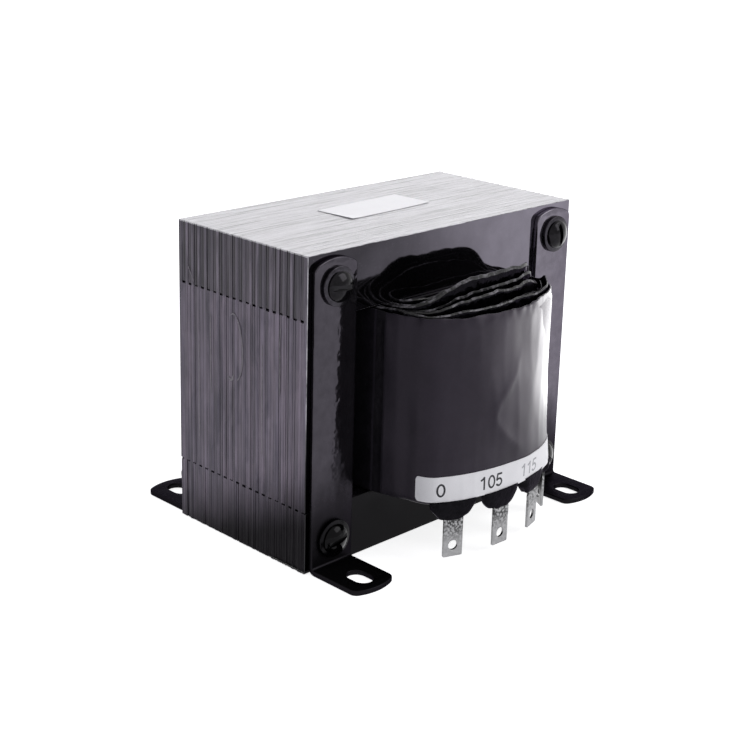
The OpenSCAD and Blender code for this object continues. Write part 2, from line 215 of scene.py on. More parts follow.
class Finishes(bpy.types.PropertyGroup):
    """Colours of the finishes"""
    sheet_face: colour("Sheet face", "Varnished flat of the laminations", (0.135, 0.124, 0.15))
    sheet_edge: colour("Sheet edge", "Varnished edges of the laminations", (0.132, 0.114, 0.145))
    bead: colour("Bead", "Runs and beads of varnish on the core", (0.2, 0.18, 0.21))
    sheet_top: colour("Sheet top", "Upper edges with little varnish", (0.485, 0.477, 0.5))
    worn: colour("Worn edge", "Bare steel at a worn edge", (0.4, 0.39, 0.42))
    bracket: colour("Bracket", "Varnished strap steel", (0.135, 0.124, 0.147))
    fastener: colour("Fastener", "Varnished bolts, nuts and washers", (0.036, 0.033, 0.04))
    wrap: colour("Wrap", "Outer wrap of the coil", (0.0185, 0.0162, 0.0215))
    layers: colour("Layers", "Varnished papers in the coil", (0.004, 0.0037, 0.0048))
    rims: colour("Rims", "Glinting rims of the papers", (0.2, 0.19, 0.21))
    copper: colour("Copper", "Enamelled wire under varnish", (0.009, 0.005, 0.004))
    board: colour("Board", "Pressboard of the former", (0.004, 0.0036, 0.004))
    paper: colour("Paper", "White label paper", (0.87, 0.865, 0.885))
    ink: colour("Ink", "Printed numbers", (0.02, 0.02, 0.024))
    faded_ink: colour("Faded ink", "Numbers faded near the strip's end", (0.36, 0.36, 0.38))
    tin: colour("Tin", "Tin plate of the lugs", (0.315, 0.315, 0.32))
    tape: colour("Tape", "Tape round the lug roots", (0.0045, 0.0043, 0.0053))


class StageSizes(bpy.types.PropertyGroup):
    """Camera, lamps and floor"""
    azimuth: angle("Azimuth", "Camera's turn about the part", -45.24)
    elevation: angle("Elevation", "Camera's height angle", 16.39)
    roll: angle("Roll", "Camera's roll", 1.52)
    distance: length("Distance", "Camera's distance from its aim", 483.6)
    aim_right: length("Aim right", "Aim right of the core's middle", -1.47, least=-1.0)
    aim_up: length("Aim up", "Aim above the core's middle", 17.29, least=-1.0)
    focal_px: FloatProperty(name="Focal length", description="Focal length in picture pixels",
                            default=1516.25, min=1.0, subtype="PIXEL")
    shift: FloatProperty(name="Shift", description="Picture's shift as a share of its width",
                         default=-0.1)
    front: power("Front lamp", "Power of the large front lamp", 5.2)
    back: power("Back lamp", "Power of the large back lamp", 2.6)
    glint: power("Glint lamp", "Power of the small lamp that glints on the wrap", 0.2)
    sheen: power("Sheen lamp", "Power of the small lamp that spreads a sheen on the wrap", 0.085)
    ambient: FloatProperty(name="Ambient", description="Strength of the light from all round",
                           default=0.5, min=0.0, max=1.0, subtype="FACTOR")


PROPERTY_GROUPS = {
    "transformer_core": CoreSizes,
    "transformer_coil": CoilSizes,
    "transformer_bracket": BracketSizes,
    "transformer_fastener": FastenerSizes,
    "transformer_lug": LugSizes,
    "transformer_label": LabelSizes,
    "transformer_finish": Finishes,
    "transformer_stage": StageSizes,
}


def sizes(kind):
    """Values of one property group, with its lengths in millimetres."""
    group = getattr(bpy.context.scene, "transformer_" + kind)
    values = {}
    for key in group.__annotations__:
        values[key] = getattr(group, key)
        if group.bl_rna.properties[key].unit == "LENGTH":
            values[key] = round(values[key] / MM, 4)
    return SimpleNamespace(**values)


def clip(u):
    return min(1.0, max(0.0, u))


def ease(u):
    """Goes softly from 0 to 1 as u does."""
    u = clip(u)
    return u * u * (3 - 2 * u)


# Mesh helpers: points are in millimetres in the shared frame

class Shell:
    """Collects points and faces of one piece."""

    def __init__(self):
        self.points, self.faces, self.finish = [], [], []

    def add(self, points, faces, finish=0):
        start = len(self.points)
        self.points.extend(points)
        self.faces.extend(tuple(start + i for i in face) for face in faces)
        self.finish.extend([finish] * len(faces))

    def grid(self, rows, wrap_across=True, wrap_along=False, finish=0):
        """Faces between neighbouring rows of equally many points."""
        count, wide = len(rows), len(rows[0])
        faces = []
        for j in range(count if wrap_along else count - 1):
            below, above = j * wide, (j + 1) % count * wide
            for i in range(wide if wrap_across else wide - 1):
                k = (i + 1) % wide
                faces.append((below + i, below + k, above + k, above + i))
        self.add([p for row in rows for p in row], faces, finish)

    def closed(self, rows):
        """A tube of closed rows with a face on both ends."""
        self.grid(rows)
        wide, end = len(rows[0]), len(self.points)
        start = end - len(rows) * wide
        self.faces += [tuple(range(start, start + wide))[::-1], tuple(range(end - wide, end))]
        self.finish += [0, 0]

    def slab(self, *sides):
        """A thin sheet between two grids of points."""
        rims = []
        for side in sides:
            self.grid(side, wrap_across=False)
            ends = [row[-1] for row in side[1:-1]], [row[0] for row in side[-2:0:-1]]
            rims.append(side[0] + ends[0] + side[-1][::-1] + ends[1])
        self.grid(rims)

    def move(self, function, first=0):
        self.points[first:] = [function(*p) for p in self.points[first:]]

    def piece(self, name, finishes, slot, stands_for=(), smooth=None):
        """Makes the piece; edges sharper than smooth, in degrees, stay sharp."""
        mesh = bpy.data.meshes.new(name)
        mesh.from_pydata([Vector(p) * MM for p in self.points], [], self.faces)
        if mesh.validate():
            raise RuntimeError(f"{name}: the mesh had bad faces")
        mesh.polygons.foreach_set("material_index", self.finish)
        for finish in finishes:
            mesh.materials.append(finish)
        tidy = bmesh.new()
        tidy.from_mesh(mesh)
        bmesh.ops.recalc_face_normals(tidy, faces=tidy.faces)
        tidy.to_mesh(mesh)
        tidy.free()
        if smooth is not None:
            mesh.polygons.foreach_set("use_smooth", [True] * len(mesh.polygons))
            mesh.set_sharp_from_angle(angle=math.radians(smooth))
        mesh.update()
        piece = bpy.data.objects.new(name, mesh)
        bpy.context.scene.collection.objects.link(piece)
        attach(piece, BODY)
        if stands_for:
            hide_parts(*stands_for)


def ring(r, y, count):
    """Circle round the Y axis."""
    turns = [TAU * i / count for i in range(count)]
    return [(r * math.cos(a), y, r * math.sin(a)) for a in turns]


def arc(centre, r, start, end, count):
    """Points on an arc, with 0 degrees to the right and angles against the clock."""
    steps = np.linspace(math.radians(start), math.radians(end), count)
    return [(centre[0] + r * math.cos(a), centre[1] + r * math.sin(a)) for a in steps]


def bumps(point, size, seed):
    """Smooth noise from -1 to 1 with features of about a size in millimetres."""
    x, y, z = point
    if not hasattr(size, "__len__"):
        size = (size, size, size)
    return noise.noise(Vector((x / size[0] + seed, y / size[1] - seed, z / size[2] + 2 * seed)))


def plate_from_outlines(outlines, thick, edge):
    """Flat plate in XY with holes and rounded edges."""
    curve = bpy.data.curves.new("blank", "CURVE")
    curve.dimensions = "2D"
    curve.fill_mode = "BOTH"
    curve.extrude = thick / 2 - edge
    curve.bevel_depth = edge
    curve.bevel_resolution = 2
    curve.offset = -edge
    for outline in outlines:
        spline = curve.splines.new("POLY")
        spline.points.add(len(outline) - 1)
        spline.use_cyclic_u = True
        for point, (x, y) in zip(spline.points, outline):
            point.co = (x, y, 0, 1)
    blank = bpy.data.objects.new("blank", curve)
    bpy.context.scene.collection.objects.link(blank)
    bpy.context.view_layer.update()
    depsgraph = bpy.context.evaluated_depsgraph_get()
    mesh = bpy.data.meshes.new_from_object(blank.evaluated_get(depsgraph))
    bpy.data.objects.remove(blank)
    bpy.data.curves.remove(curve)
    plate = bmesh.new()
    plate.from_mesh(mesh)
    bpy.data.meshes.remove(mesh)
    bmesh.ops.remove_doubles(plate, verts=plate.verts, dist=1e-4)
    return plate


def cut_across(plate, places, axis=1):
    """Cuts a plate at several places along an axis, so that it can bend there."""
    normal = Vector((0, 0, 0))
    normal[axis] = 1
    for place in places:
        bmesh.ops.bisect_plane(plate, geom=plate.verts[:] + plate.edges[:] + plate.faces[:],
                               plane_co=normal * place, plane_no=normal)


def take(plate, shell, function):
    """Adds a plate's faces to a shell with each point sent through a function."""
    plate.verts.index_update()
    shell.add([function(*v.co) for v in plate.verts],
              [[v.index for v in f.verts] for f in plate.faces])
    plate.free()


# Coil outline: s is the length along the outline from the middle of the front

# Slope of a flank that draws in, from the core's face to the crown
FLANK_PLACES = (0, 0.08, 0.16, 0.4, 0.56, 0.72, 0.86, 1)
FLANK_SLOPES = (0, 0.5, 1, 1, 0, -1.6, -1.2, 0)


class Outline:
    """Closed plan of the coil at a share of its build, with normals."""

    def __init__(self, share, step):
        coil = sizes("coil")
        share = max(share, 0.004)  # the crown of the former itself would be flat
        half_w = FORMER_HALF_W + (COIL_HALF_W - FORMER_HALF_W) * share
        reach = FORMER_REACH + (COIL_REACH - FORMER_REACH) * share
        corner = coil.inner_r + (coil.corner_r - coil.inner_r) * share
        crown = self.crown = coil.crown_r / share
        corner_x = half_w - corner
        rise = math.sqrt((crown - corner) ** 2 - corner_x ** 2)
        corner_y = rise - (crown - reach)
        limit = self.limit_of(corner_x, corner)
        quarter = math.pi / 2
        parts = [
            ((0, crown - reach), crown, 0, limit),
            ((corner_x, -corner_y), corner, limit, quarter),
            ((half_w, -corner_y), 0, quarter, quarter),
            ((corner_x, corner_y), corner, quarter, math.pi - limit),
            ((0, reach - crown), crown, math.pi - limit, math.pi + limit),
            ((-corner_x, corner_y), corner, math.pi + limit, 3 * quarter),
            ((-half_w, corner_y), 0, 3 * quarter, 3 * quarter),
            ((-corner_x, -corner_y), corner, 3 * quarter, 2 * math.pi - limit),
            ((0, crown - reach), crown, 2 * math.pi - limit, 2 * math.pi),
        ]
        x, y, turn, along, total = [], [], [], [], 0.0
        for centre, r, start, end in parts:
            run = r * (end - start) if r else 2 * corner_y
            count = max(2, round(run / step))
            for i in range(count):
                u = i / count
                a = start + (end - start) * u
                if r:
                    x.append(centre[0] + r * math.sin(a))
                    y.append(centre[1] - r * math.cos(a))
                else:
                    x.append(centre[0])
                    y.append(centre[1] * (1 - 2 * u))
                turn.append(a)
                along.append(total + run * u)
            total += run
        self.turn, self.s, self.total = np.array(turn), np.array(along), total
        self.nx, self.ny = np.sin(self.turn), -np.cos(self.turn)
        x, y = np.array(x), np.array(y)
        drawn = self.draw_in(x, y, corner_x, corner_y, corner) * coil.flank * share
        self.x, self.y = x - self.nx * drawn, y - self.ny * drawn
        self.count = len(x)
        self.limit, self.corner = limit, corner
        self.front_s = crown * limit

    def draw_in(self, x, y, corner_x, corner_y, corner):
        """Share by which the left front and right back flanks draw in: 0 to 1."""
        flat = np.maximum(np.minimum(np.abs(y), corner_y) - FREE_Y, 0.0)
        turned = np.arctan2(np.maximum(np.abs(y) - corner_y, 0),
                            np.maximum(np.abs(x) - corner_x, 1e-6))
        run = flat + corner * turned
        full = corner_y - FREE_Y + corner * (math.pi / 2 - self.limit_of(corner_x, corner))
        u, window = np.linspace(0, 1, 401), np.hanning(41)
        slope = np.pad(np.interp(u, FLANK_PLACES, FLANK_SLOPES), len(window) // 2, mode="edge")
        table = np.cumsum(np.convolve(slope, window / window.sum(), "valid"))
        table = (table - u * table[-1]) / table.max()
        return np.where((x * y > 0) & (np.abs(y) > FREE_Y), np.interp(run / full, u, table), 0.0)

    def limit_of(self, corner_x, corner):
        """Angle at which the crown ends and a corner starts."""
        return math.asin(corner_x / (self.crown - corner))

    def at(self, s):
        """Point and direction at a length along the outline."""
        s = s % self.total
        wide = np.append(self.s, self.total)
        x = np.interp(s, wide, np.append(self.x, self.x[0]))
        y = np.interp(s, wide, np.append(self.y, self.y[0]))
        return x, y, np.interp(s, wide, np.append(self.turn, TAU))

    def off(self, i, out, z):
        """Place at a height that lies off the outline's point i."""
        return self.x[i] + self.nx[i] * out, self.y[i] + self.ny[i] * out, z

    def end_of_turn(self, a):
        """Length along the outline where it has turned by an angle past the crown."""
        return self.front_s + self.corner * (a - self.limit)


# The fold in the front of the wrap bends to the left and back again.
FOLD_Z = (27, 31.5, 37.4, 41, 44, 47.6, 54, 64)
FOLD_X = (8, 4.2, -2.3, -5.6, -6.8, -5.4, 0.4, 5)
FOLD_SPREAD = 3.2


def past_cover(coil, x, y):
    """How far a place on the wrap lies beyond the end of its cover, on two of the flanks."""
    return coil.cover_end - abs(y) if x * y > 0 else -COIL_REACH


def wrap_swell(coil, x, y, z):
    """How far the wrap stands out of its plan: upright creases, dents, a lean and a fold."""
    broad = bumps((x, y, z), (13, 13, 70), 3.1)
    narrow = abs(bumps((x, y, z), (5.5, 5.5, 38), 7.7))
    dent = bumps((x + 0.35 * z, y, z), (15, 15, 21), 5.2)
    lean = clip(x / 28) * (COIL_LOW + 22 - z) / 28
    fold = 0.0
    if y < 0:
        ends = clip((z - FOLD_Z[0]) / 6) * clip((FOLD_Z[-1] - z) / 12)
        fold = ends * math.exp(-abs(x - np.interp(z, FOLD_Z, FOLD_X)) / FOLD_SPREAD)
    creases = 0.9 * coil.crease * (broad - narrow)
    return creases + coil.dent * dent + coil.lean * lean + coil.fold * fold


# Materials

def add_node(tree, kind, inputs=(), **settings):
    """A new node, with values or links for some of its inputs."""
    node = tree.nodes.new(kind)
    for key, value in settings.items():
        setattr(node, key, value)
    for key, value in dict(inputs).items():
        if isinstance(value, bpy.types.NodeSocket):
            tree.links.new(value, node.inputs[key])
        else:
            node.inputs[key].default_value = value
    return node


def scaled(tone, factor):
    return tuple(min(1.0, c * factor) for c in tone)


class Shade:
    """A Principled material with short calls that add nodes to it."""

    def __init__(self, name, roughness=0.5, metallic=0.0, specular=0.5, tint=(1.0, 1.0, 1.0)):
        self.material = bpy.data.materials.new(name)
        self.material.use_nodes = True
        self.tree = self.material.node_tree
        self.shader = self.tree.nodes["Principled BSDF"]
        self.put("Roughness", roughness)
        self.put("Metallic", metallic)
        self.put("Specular IOR Level", specular)
        self.put("Specular Tint", (*tint, 1.0))

    def put(self, socket, value):
        self.shader.inputs[socket].default_value = value

    def feed(self, socket, source):
        self.tree.links.new(source, self.shader.inputs[socket])

    def group(self, build, **values):
        """Outputs of a node group that is given these values."""
        node = add_node(self.tree, "ShaderNodeGroup", node_tree=build())
        for key, value in values.items():
            node.inputs[key.replace("_", " ")].default_value = value
        return node.outputs

    def ramp(self, factor, *stops):
        """Colour that passes through stops as a factor grows; a plain number is a grey."""
        node = add_node(self.tree, "ShaderNodeValToRGB", {"Fac": factor})
        points = node.color_ramp.elements
        while len(points) < len(stops):
            points.new(0.5)
        for point, (place, tone) in zip(points, stops):
            point.position = place
            point.color = (*tone, 1) if hasattr(tone, "__len__") else (tone, tone, tone, 1)
        return node.outputs["Color"]

    def shades(self, factor, base, *stops):
        """Ramp through lighter and darker shades of one colour."""
        return self.ramp(factor, *((place, scaled(base, share)) for place, share in stops))

    def between(self, factor, low, high):
        """Value from low to high as a factor goes from 0 to 1."""
        inputs = {"Value": factor, "To Min": low, "To Max": high}
        return add_node(self.tree, "ShaderNodeMapRange", inputs).outputs["Result"]

    def mix(self, factor, a, b, blend="MIX"):
        """Colour mix of two sockets or colours."""
        a, b = (v if isinstance(v, bpy.types.NodeSocket) else (*v, 1) for v in (a, b))
        node = add_node(self.tree, "ShaderNodeMix", {0: factor, 6: a, 7: b}, data_type="RGBA",
                        blend_type=blend)
        return node.outputs[2]

    def times(self, a, b):
        return self.mix(1.0, a, b, "MULTIPLY")

    def rough(self, factor, low, high):
        self.feed("Roughness", self.between(factor, low, high))

    def bump(self, height, depth, **under):
        """Bump of a depth in millimetres."""
        inputs = {"Strength": 1.0, "Distance": depth * MM, "Height": height, **under}
        normal = add_node(self.tree, "ShaderNodeBump", inputs).outputs["Normal"]
        self.feed("Normal", normal)
        return normal


class GroupTree:
    """A shader node group with named sockets, in millimetres of the part's own frame."""

    def __init__(self, name, inputs, *outputs):
        self.tree = bpy.data.node_groups.new(name, "ShaderNodeTree")
        new_socket = self.tree.interface.new_socket
        for key, value in inputs.items():
            new_socket(key, in_out="INPUT", socket_type="NodeSocketFloat").default_value = value
        for key in outputs:
            new_socket(key, in_out="OUTPUT", socket_type="NodeSocketFloat")
        self.given = self.tree.nodes.new("NodeGroupInput").outputs
        self.out = self.tree.nodes.new("NodeGroupOutput")
        place = self.tree.nodes.new("ShaderNodeTexCoord").outputs["Object"]
        self.place = self.vector("SCALE", {0: place, "Scale": 1 / MM})

    def vector(self, operation, inputs):
        node = add_node(self.tree, "ShaderNodeVectorMath", inputs, operation=operation)
        return node.outputs["Vector"]

    def stretch(self, *factors):
        """The place, times a factor along each axis."""
        return self.vector("MULTIPLY", {0: self.place, 1: factors})

    def axis(self, name):
        return add_node(self.tree, "ShaderNodeSeparateXYZ", {0: self.place}).outputs[name]

    def maths(self, operation, a, b=0.0):
        return add_node(self.tree, "ShaderNodeMath", {0: a, 1: b}, operation=operation).outputs[0]

    def noise(self, place, scale=1.0, detail=2.0, roughness=0.5):
        inputs = {"Vector": place, "Scale": scale, "Detail": detail, "Roughness": roughness}
        return add_node(self.tree, "ShaderNodeTexNoise", inputs).outputs["Fac"]

    def wander(self, noise, size):
        """Noise as a length that wanders to both sides of 0."""
        return self.maths("MULTIPLY", self.maths("SUBTRACT", noise, 0.5), size)

    def white(self, index):
        """A random value for each whole number."""
        node = add_node(self.tree, "ShaderNodeTexWhiteNoise", noise_dimensions="1D")
        self.tree.links.new(index, node.inputs["W"])
        return node.outputs["Value"]

    def spread(self, value, low, high):
        """Goes softly from 0 to 1 as a value goes from low to high."""
        inputs = {"Value": value, "From Min": low, "From Max": high}
        node = add_node(self.tree, "ShaderNodeMapRange", inputs, interpolation_type="SMOOTHSTEP")
        return node.outputs["Result"]

    def give(self, **results):
        for key, value in results.items():
            self.tree.links.new(value, self.out.inputs[key])
        return self.tree


@cache
def varnish_film():
    """Ripples, mottling and dust in a dipped varnish."""
    g = GroupTree("varnish_film", {"Ripple size": 9.0, "Mottle size": 4.0},
                  "Ripple", "Mottle", "Specks")
    ripple = g.noise(g.place, g.maths("DIVIDE", 1.0, g.given["Ripple size"]), 1.5, 0.4)
    mottle = g.noise(g.place, g.maths("DIVIDE", 1.0, g.given["Mottle size"]), 5.0, 0.6)
    specks = g.spread(g.noise(g.place, 2.6, 1.0), 0.69, 0.78)
    return g.give(Ripple=ripple, Mottle=mottle, Specks=specks)


@cache
def drain_pool():
    """Mask that is 1 below a wandering, sloping height and 0 above it: it splits some finishes into
    zones and places the painted shade that darkens others towards the bottom.
    """
    g = GroupTree("drain_pool", {"Bottom": 8.0, "Top": 40.0, "Wander": 26.0, "Slope": 0.0}, "Pool")
    wander = g.wander(g.noise(g.stretch(0.12, 0.12, 0.025), 1.0, 3.0), g.given["Wander"])
    tilt = g.maths("MULTIPLY", g.axis("Y"), g.given["Slope"])
    height = g.maths("ADD", g.maths("ADD", g.axis("Z"), tilt), wander)
    drained = g.spread(height, g.given["Bottom"], g.given["Top"])
    return g.give(Pool=g.maths("SUBTRACT", 1.0, drained))


@cache
def sheet_lines():
    """Tone of each sheet, and streaks, scratches and runs along its edge."""
    g = GroupTree("sheet_lines", {"Sheet": 0.635}, "Tone", "Streak", "Scratch", "Run")
    index = g.maths("DIVIDE", g.maths("ADD", g.axis("Y"), 500.0), g.given["Sheet"])
    streak = g.noise(g.stretch(0.035, 1.1, 0.035), 1.0, 4.0, 0.6)
    scratch = g.noise(g.stretch(0.07, 3.2, 0.07), 1.0, 3.0, 0.65)
    sway = g.maths("MULTIPLY", g.noise(g.place, 0.06), 1.4)
    run = g.noise(g.vector("ADD", {0: g.stretch(0.05, 0.28, 0.022), 1: sway}), 1.0, 3.0, 0.55)
    return g.give(Tone=g.white(g.maths("FLOOR", index)), Streak=streak, Scratch=scratch, Run=run)


@cache
def side_fade():
    """Painted reflection across the part: 0 at the left, where it is painted darker, and 1 at the
    right, where it is painted lighter.
    """
    g = GroupTree("side_fade", {"Left": -60.0, "Right": 45.0}, "Thin")
    across = g.maths("ADD", g.axis("X"), g.wander(g.noise(g.place, 0.045), 40.0))
    return g.give(Thin=g.spread(across, g.given["Left"], g.given["Right"]))


@cache
def rib_lines():
    """Masks for the painted highlights on the crest of each rib and the painted shade in the
    grooves, on the ribs that every second group makes.
    """
    g = GroupTree("rib_lines", {"Pitch": 2.93, "Start": 0.0}, "Crest", "Groove")
    drift = g.wander(g.noise(g.stretch(0.03, 0.3, 0.03)), 1.6)
    across = g.maths("SUBTRACT", g.maths("ADD", g.axis("Y"), drift), g.given["Start"])
    phase = g.maths("ADD", g.maths("DIVIDE", across, g.given["Pitch"]), 100.5)
    off = g.maths("ABSOLUTE", g.maths("SUBTRACT", g.maths("FRACT", phase), 0.5))
    off = g.maths("MULTIPLY", off, 2.0)
    patchy = g.noise(g.stretch(0.08, 0.5, 0.08), 1.0, 3.0)
    strength = g.maths("MULTIPLY", g.white(g.maths("FLOOR", phase)), g.spread(patchy, 0.3, 0.6))
    crest = g.maths("MULTIPLY", g.maths("SUBTRACT", 1.0, g.spread(off, 0.05, 0.5)), strength)
    groove = g.maths("MULTIPLY", g.spread(off, 0.62, 1.0), g.spread(patchy, 0.7, 0.35))
    return g.give(Crest=crest, Groove=groove)


# Heights of the painted shade that darkens the core's sides and the bolts towards the bottom, in
# millimetres
CORE_LOW_SHADE = {"Bottom": 3.0, "Top": 30.0, "Wander": 7.0, "Slope": 0.36}
BOLT_LOW_SHADE = {"Bottom": 8.0, "Top": 42.0}
DARK_TINT = (0.5, 0.48, 0.52)


def filmed(name, ripple, mottle, colour="", tones=(), rough=(), bump=0.0, pool=None, dark=0.0,
           **shader):
    """A finish under a film of varnish, and that film.

    Mottling gives the shades of the colour and the roughness, and ripples give the bumps. A
    share of the colour, dark, is painted shade that darkens the finish towards the bottom.
    """
    m = Shade(name, **shader)
    film = m.group(varnish_film, Ripple_size=ripple, Mottle_size=mottle)
    if tones:
        base = getattr(sizes("finish"), colour)
        tone = m.shades(film["Mottle"], base, *tones)
        if pool:
            darken(m, tone, scaled(base, dark), **pool)
        else:
            m.feed("Base Color", tone)
    if rough:
        m.rough(film["Mottle"], *rough)
    if bump:
        m.bump(film["Ripple"], bump)
    return m, film


def darken(m, tone, dark, **pool):
    """Gives a finish its base colour, with painted shade that darkens it towards the bottom."""
    shaded_low = m.group(drain_pool, **pool)["Pool"]
    m.feed("Base Color", m.mix(shaded_low, tone, dark))
    return shaded_low


# Finishes that a film of varnish makes up; each tone is a place in the mottling and a share
PLAIN = {
    # Glossy runs and beads of varnish, darkened towards the bottom by painted shade
    "varnish_beads": dict(
        ripple=1.5, mottle=2.0, colour="bead", tones=((0.3, 0.6), (0.7, 1.0)), rough=(0.12, 0.3),
        pool=CORE_LOW_SHADE, dark=0.04, specular=0.4),
    # Bare steel where handling has worn the varnish off an edge, darkened towards the bottom by
    # painted shade
    "worn_edge": dict(
        ripple=2.0, mottle=5.0, colour="worn", tones=((0.4, 0.25), (0.6, 1.0)), rough=(0.2, 0.45),
        pool={"Bottom": 30.0, "Top": 60.0}, dark=0.05, metallic=0.8),
    # Varnished steel of bolts, nuts and washers, darkened towards the bottom by painted shade
    "varnished_fasteners": dict(
        ripple=2.2, mottle=1.3, colour="fastener", tones=((0.3, 0.55), (0.75, 1.25)),
        rough=(0.1, 0.26), bump=0.04, pool=BOLT_LOW_SHADE, dark=0.12, metallic=0.9),
    # Bolt heads painted darker than the washers, standing for the dark reflections in their domes,
    # and darker towards the bottom by painted shade
    "varnished_heads": dict(
        ripple=1.6, mottle=1.0, colour="fastener", tones=((0.3, 0.125), (0.75, 0.325)),
        rough=(0.05, 0.2), bump=0.06, pool=BOLT_LOW_SHADE, dark=0.05, metallic=0.85),
    # Creased wrap under a glossy varnish
    "black_wrap": dict(
        ripple=5.0, mottle=9.0, colour="wrap", tones=((0.3, 0.8), (0.7, 1.2)), rough=(0.3, 0.42),
        bump=0.05, specular=0.16, tint=(0.93, 0.8, 1.0)),
    # Dull under-layer of the wrap, bare beyond the end of its cover; its darker colour also paints
    # the shade in the gap beside the core
    "wrap_flank": dict(
        ripple=1.8, mottle=3.0, colour="wrap", tones=((0.3, 0.3), (0.7, 0.62)), bump=0.15,
        roughness=0.42, specular=0.1),
    # Rims of the papers, with glints painted on here and there
    "paper_rims": dict(
        ripple=1.2, mottle=2.6, colour="rims", tones=((0.5, 0.03), (0.66, 1.0)), bump=0.2,
        roughness=0.3, specular=0.3),
    # Pressboard of the former, soaked in varnish
    "varnished_board": dict(
        ripple=1.0, mottle=1.5, colour="board", tones=((0.3, 0.5), (0.7, 1.5)), rough=(0.25, 0.5),
        bump=0.05, specular=0.15),
    # Black tape and varnish round the lug roots
    "root_tape": dict(
        ripple=0.9, mottle=2.0, colour="tape", tones=((0.3, 0.7), (0.75, 2.0)), rough=(0.3, 0.6),
        bump=0.15, metallic=0.8, specular=0.12, tint=DARK_TINT),
    # Printed ink with slight wear, and where it has faded
    "printed_ink": dict(
        ripple=0.4, mottle=0.6, colour="ink", tones=((0.4, 1.0), (0.8, 1.5)), rough=(0.4, 0.6),
        specular=0.3),
    "faded_ink": dict(
        ripple=0.4, mottle=0.6, colour="faded_ink", tones=((0.4, 1.0), (0.8, 1.5)),
        rough=(0.4, 0.6), specular=0.3),
}


@cache
def plain(name):
    """One of the plain finishes, built when it is first asked for."""
    return filmed(name, **PLAIN[name])[0].material


@cache
def sheet_face_finish():
    """Dark mirror of the varnished end sheets."""
    base = sizes("finish").sheet_face
    m, film = filmed("varnished_sheet_face", 12.0, 7.0, rough=(0.03, 0.1), bump=0.05, metallic=0.96)
    # Painted reflection: the face is darker at the left and lighter at the right.
    thick = m.shades(m.group(side_fade)["Thin"], base, (0.12, 0.2), (0.55, 0.52), (1.0, 1.0))
    toned = m.times(thick, m.ramp(film["Mottle"], (0.25, 0.86), (0.75, 1.1)))
    toned = m.mix(m.between(film["Specks"], 0.0, 0.3), toned, scaled(base, 1.3))
    # Painted shade darkens the face towards the bottom.
    darken(m, toned, scaled(base, 0.03), Bottom=22.0, Top=62.0)
    return m.material


@cache
def sheet_edge_finish():
    """Varnished edges of the stacked sheets, dark at the sides and bare on top."""
    core, finish = sizes("core"), sizes("finish")
    base, group_t, yoke_low = finish.sheet_edge, 2 * FACE_Y / core.groups, CORE_TOP - YOKE_H
    m, film = filmed("stacked_sheet_edges", 7.0, 11.0)
    ribs = m.group(rib_lines, Pitch=2 * group_t, Start=group_t / 2 - FACE_Y)
    lines = m.group(sheet_lines, Sheet=group_t / core.sheets)
    # Painted shade darkens the sides towards the bottom, most at the front.
    pool = m.group(drain_pool, **CORE_LOW_SHADE)["Pool"]
    legs = m.group(drain_pool, Bottom=yoke_low - 0.3, Top=yoke_low + 0.3, Wander=0.0)["Pool"]
    sides = m.group(drain_pool, Bottom=CORE_TOP - 0.5, Top=CORE_TOP - 0.4, Wander=0.0)["Pool"]
    toned = m.shades(lines["Tone"], base, (0.0, 0.72), (1.0, 1.22))
    toned = m.times(toned, m.ramp(lines["Streak"], (0.3, 0.62), (0.5, 0.95), (0.68, 1.15)))
    toned = m.times(toned, m.ramp(film["Mottle"], (0.3, 0.84), (0.7, 1.08)))
    toned = m.times(toned, m.ramp(lines["Run"], (0.3, (0.46, 0.44, 0.54)),
                                  (0.45, (0.93, 0.91, 0.98)), (0.68, (1.45, 1.38, 1.42))))
    # In the upper yoke, painted highlights on the crest of each rib and painted shade on its flanks
    # and in its grooves; below it, painted shade in the grooves only.
    crests = m.mix(ribs["Crest"], m.times(toned, (0.5, 0.51, 0.51)), scaled(base, 1.7))
    ribbed = m.mix(ribs["Groove"], crests, scaled(base, 0.12))
    plain = m.mix(m.between(ribs["Groove"], 0.0, 0.5), toned, scaled(base, 0.3))
    side = m.mix(pool, m.mix(legs, ribbed, plain), scaled(base, 0.05))
    top = m.shades(lines["Streak"], finish.sheet_top, (0.34, 0.5), (0.46, 0.92), (0.62, 1.1))
    top = m.times(top, m.ramp(lines["Scratch"], (0.34, 0.7), (0.46, 1.0)))
    m.feed("Base Color", m.mix(sides, top, side))
    m.feed("Metallic", m.between(pool, 0.25, 1.0))
    m.rough(lines["Streak"], 0.24, 0.5)
    m.bump(lines["Scratch"], 0.05, Normal=m.bump(film["Ripple"], 0.12))
    return m.material


@cache
def bracket_finish():
    """Glossy varnish on strap steel."""
    base = sizes("finish").bracket
    m, film = filmed("varnished_strap", 2.6, 3.0, bump=0.09, metallic=0.9, specular=0.06,
                     tint=(0.4, 0.38, 0.42))
    # Painted reflection: the straps are darker at the left and lighter at the right.
    thick = m.shades(m.group(side_fade)["Thin"], base, (0.05, 0.36), (0.9, 1.0))
    toned = m.times(thick, m.ramp(film["Mottle"], (0.25, 0.8), (0.75, 1.12)))
    # Painted shade darkens the straps towards their feet.
    shaded_low = darken(m, toned, scaled(base, 0.08), Bottom=10.0, Top=34.0)
    m.rough(shaded_low, 0.08, 0.4)
    return m.material


@cache
def layer_finish():
    """Papers soaked in black varnish."""
    m, film = filmed("varnished_layers", 1.6, 4.0, "layers", ((0.3, 0.6), (0.75, 1.9)), bump=0.3,
                     metallic=0.85, specular=0.12, tint=DARK_TINT)
    m.rough(m.ramp(film["Mottle"], (0.42, 0.0), (0.58, 1.0)), 0.05, 0.34)
    return m.material


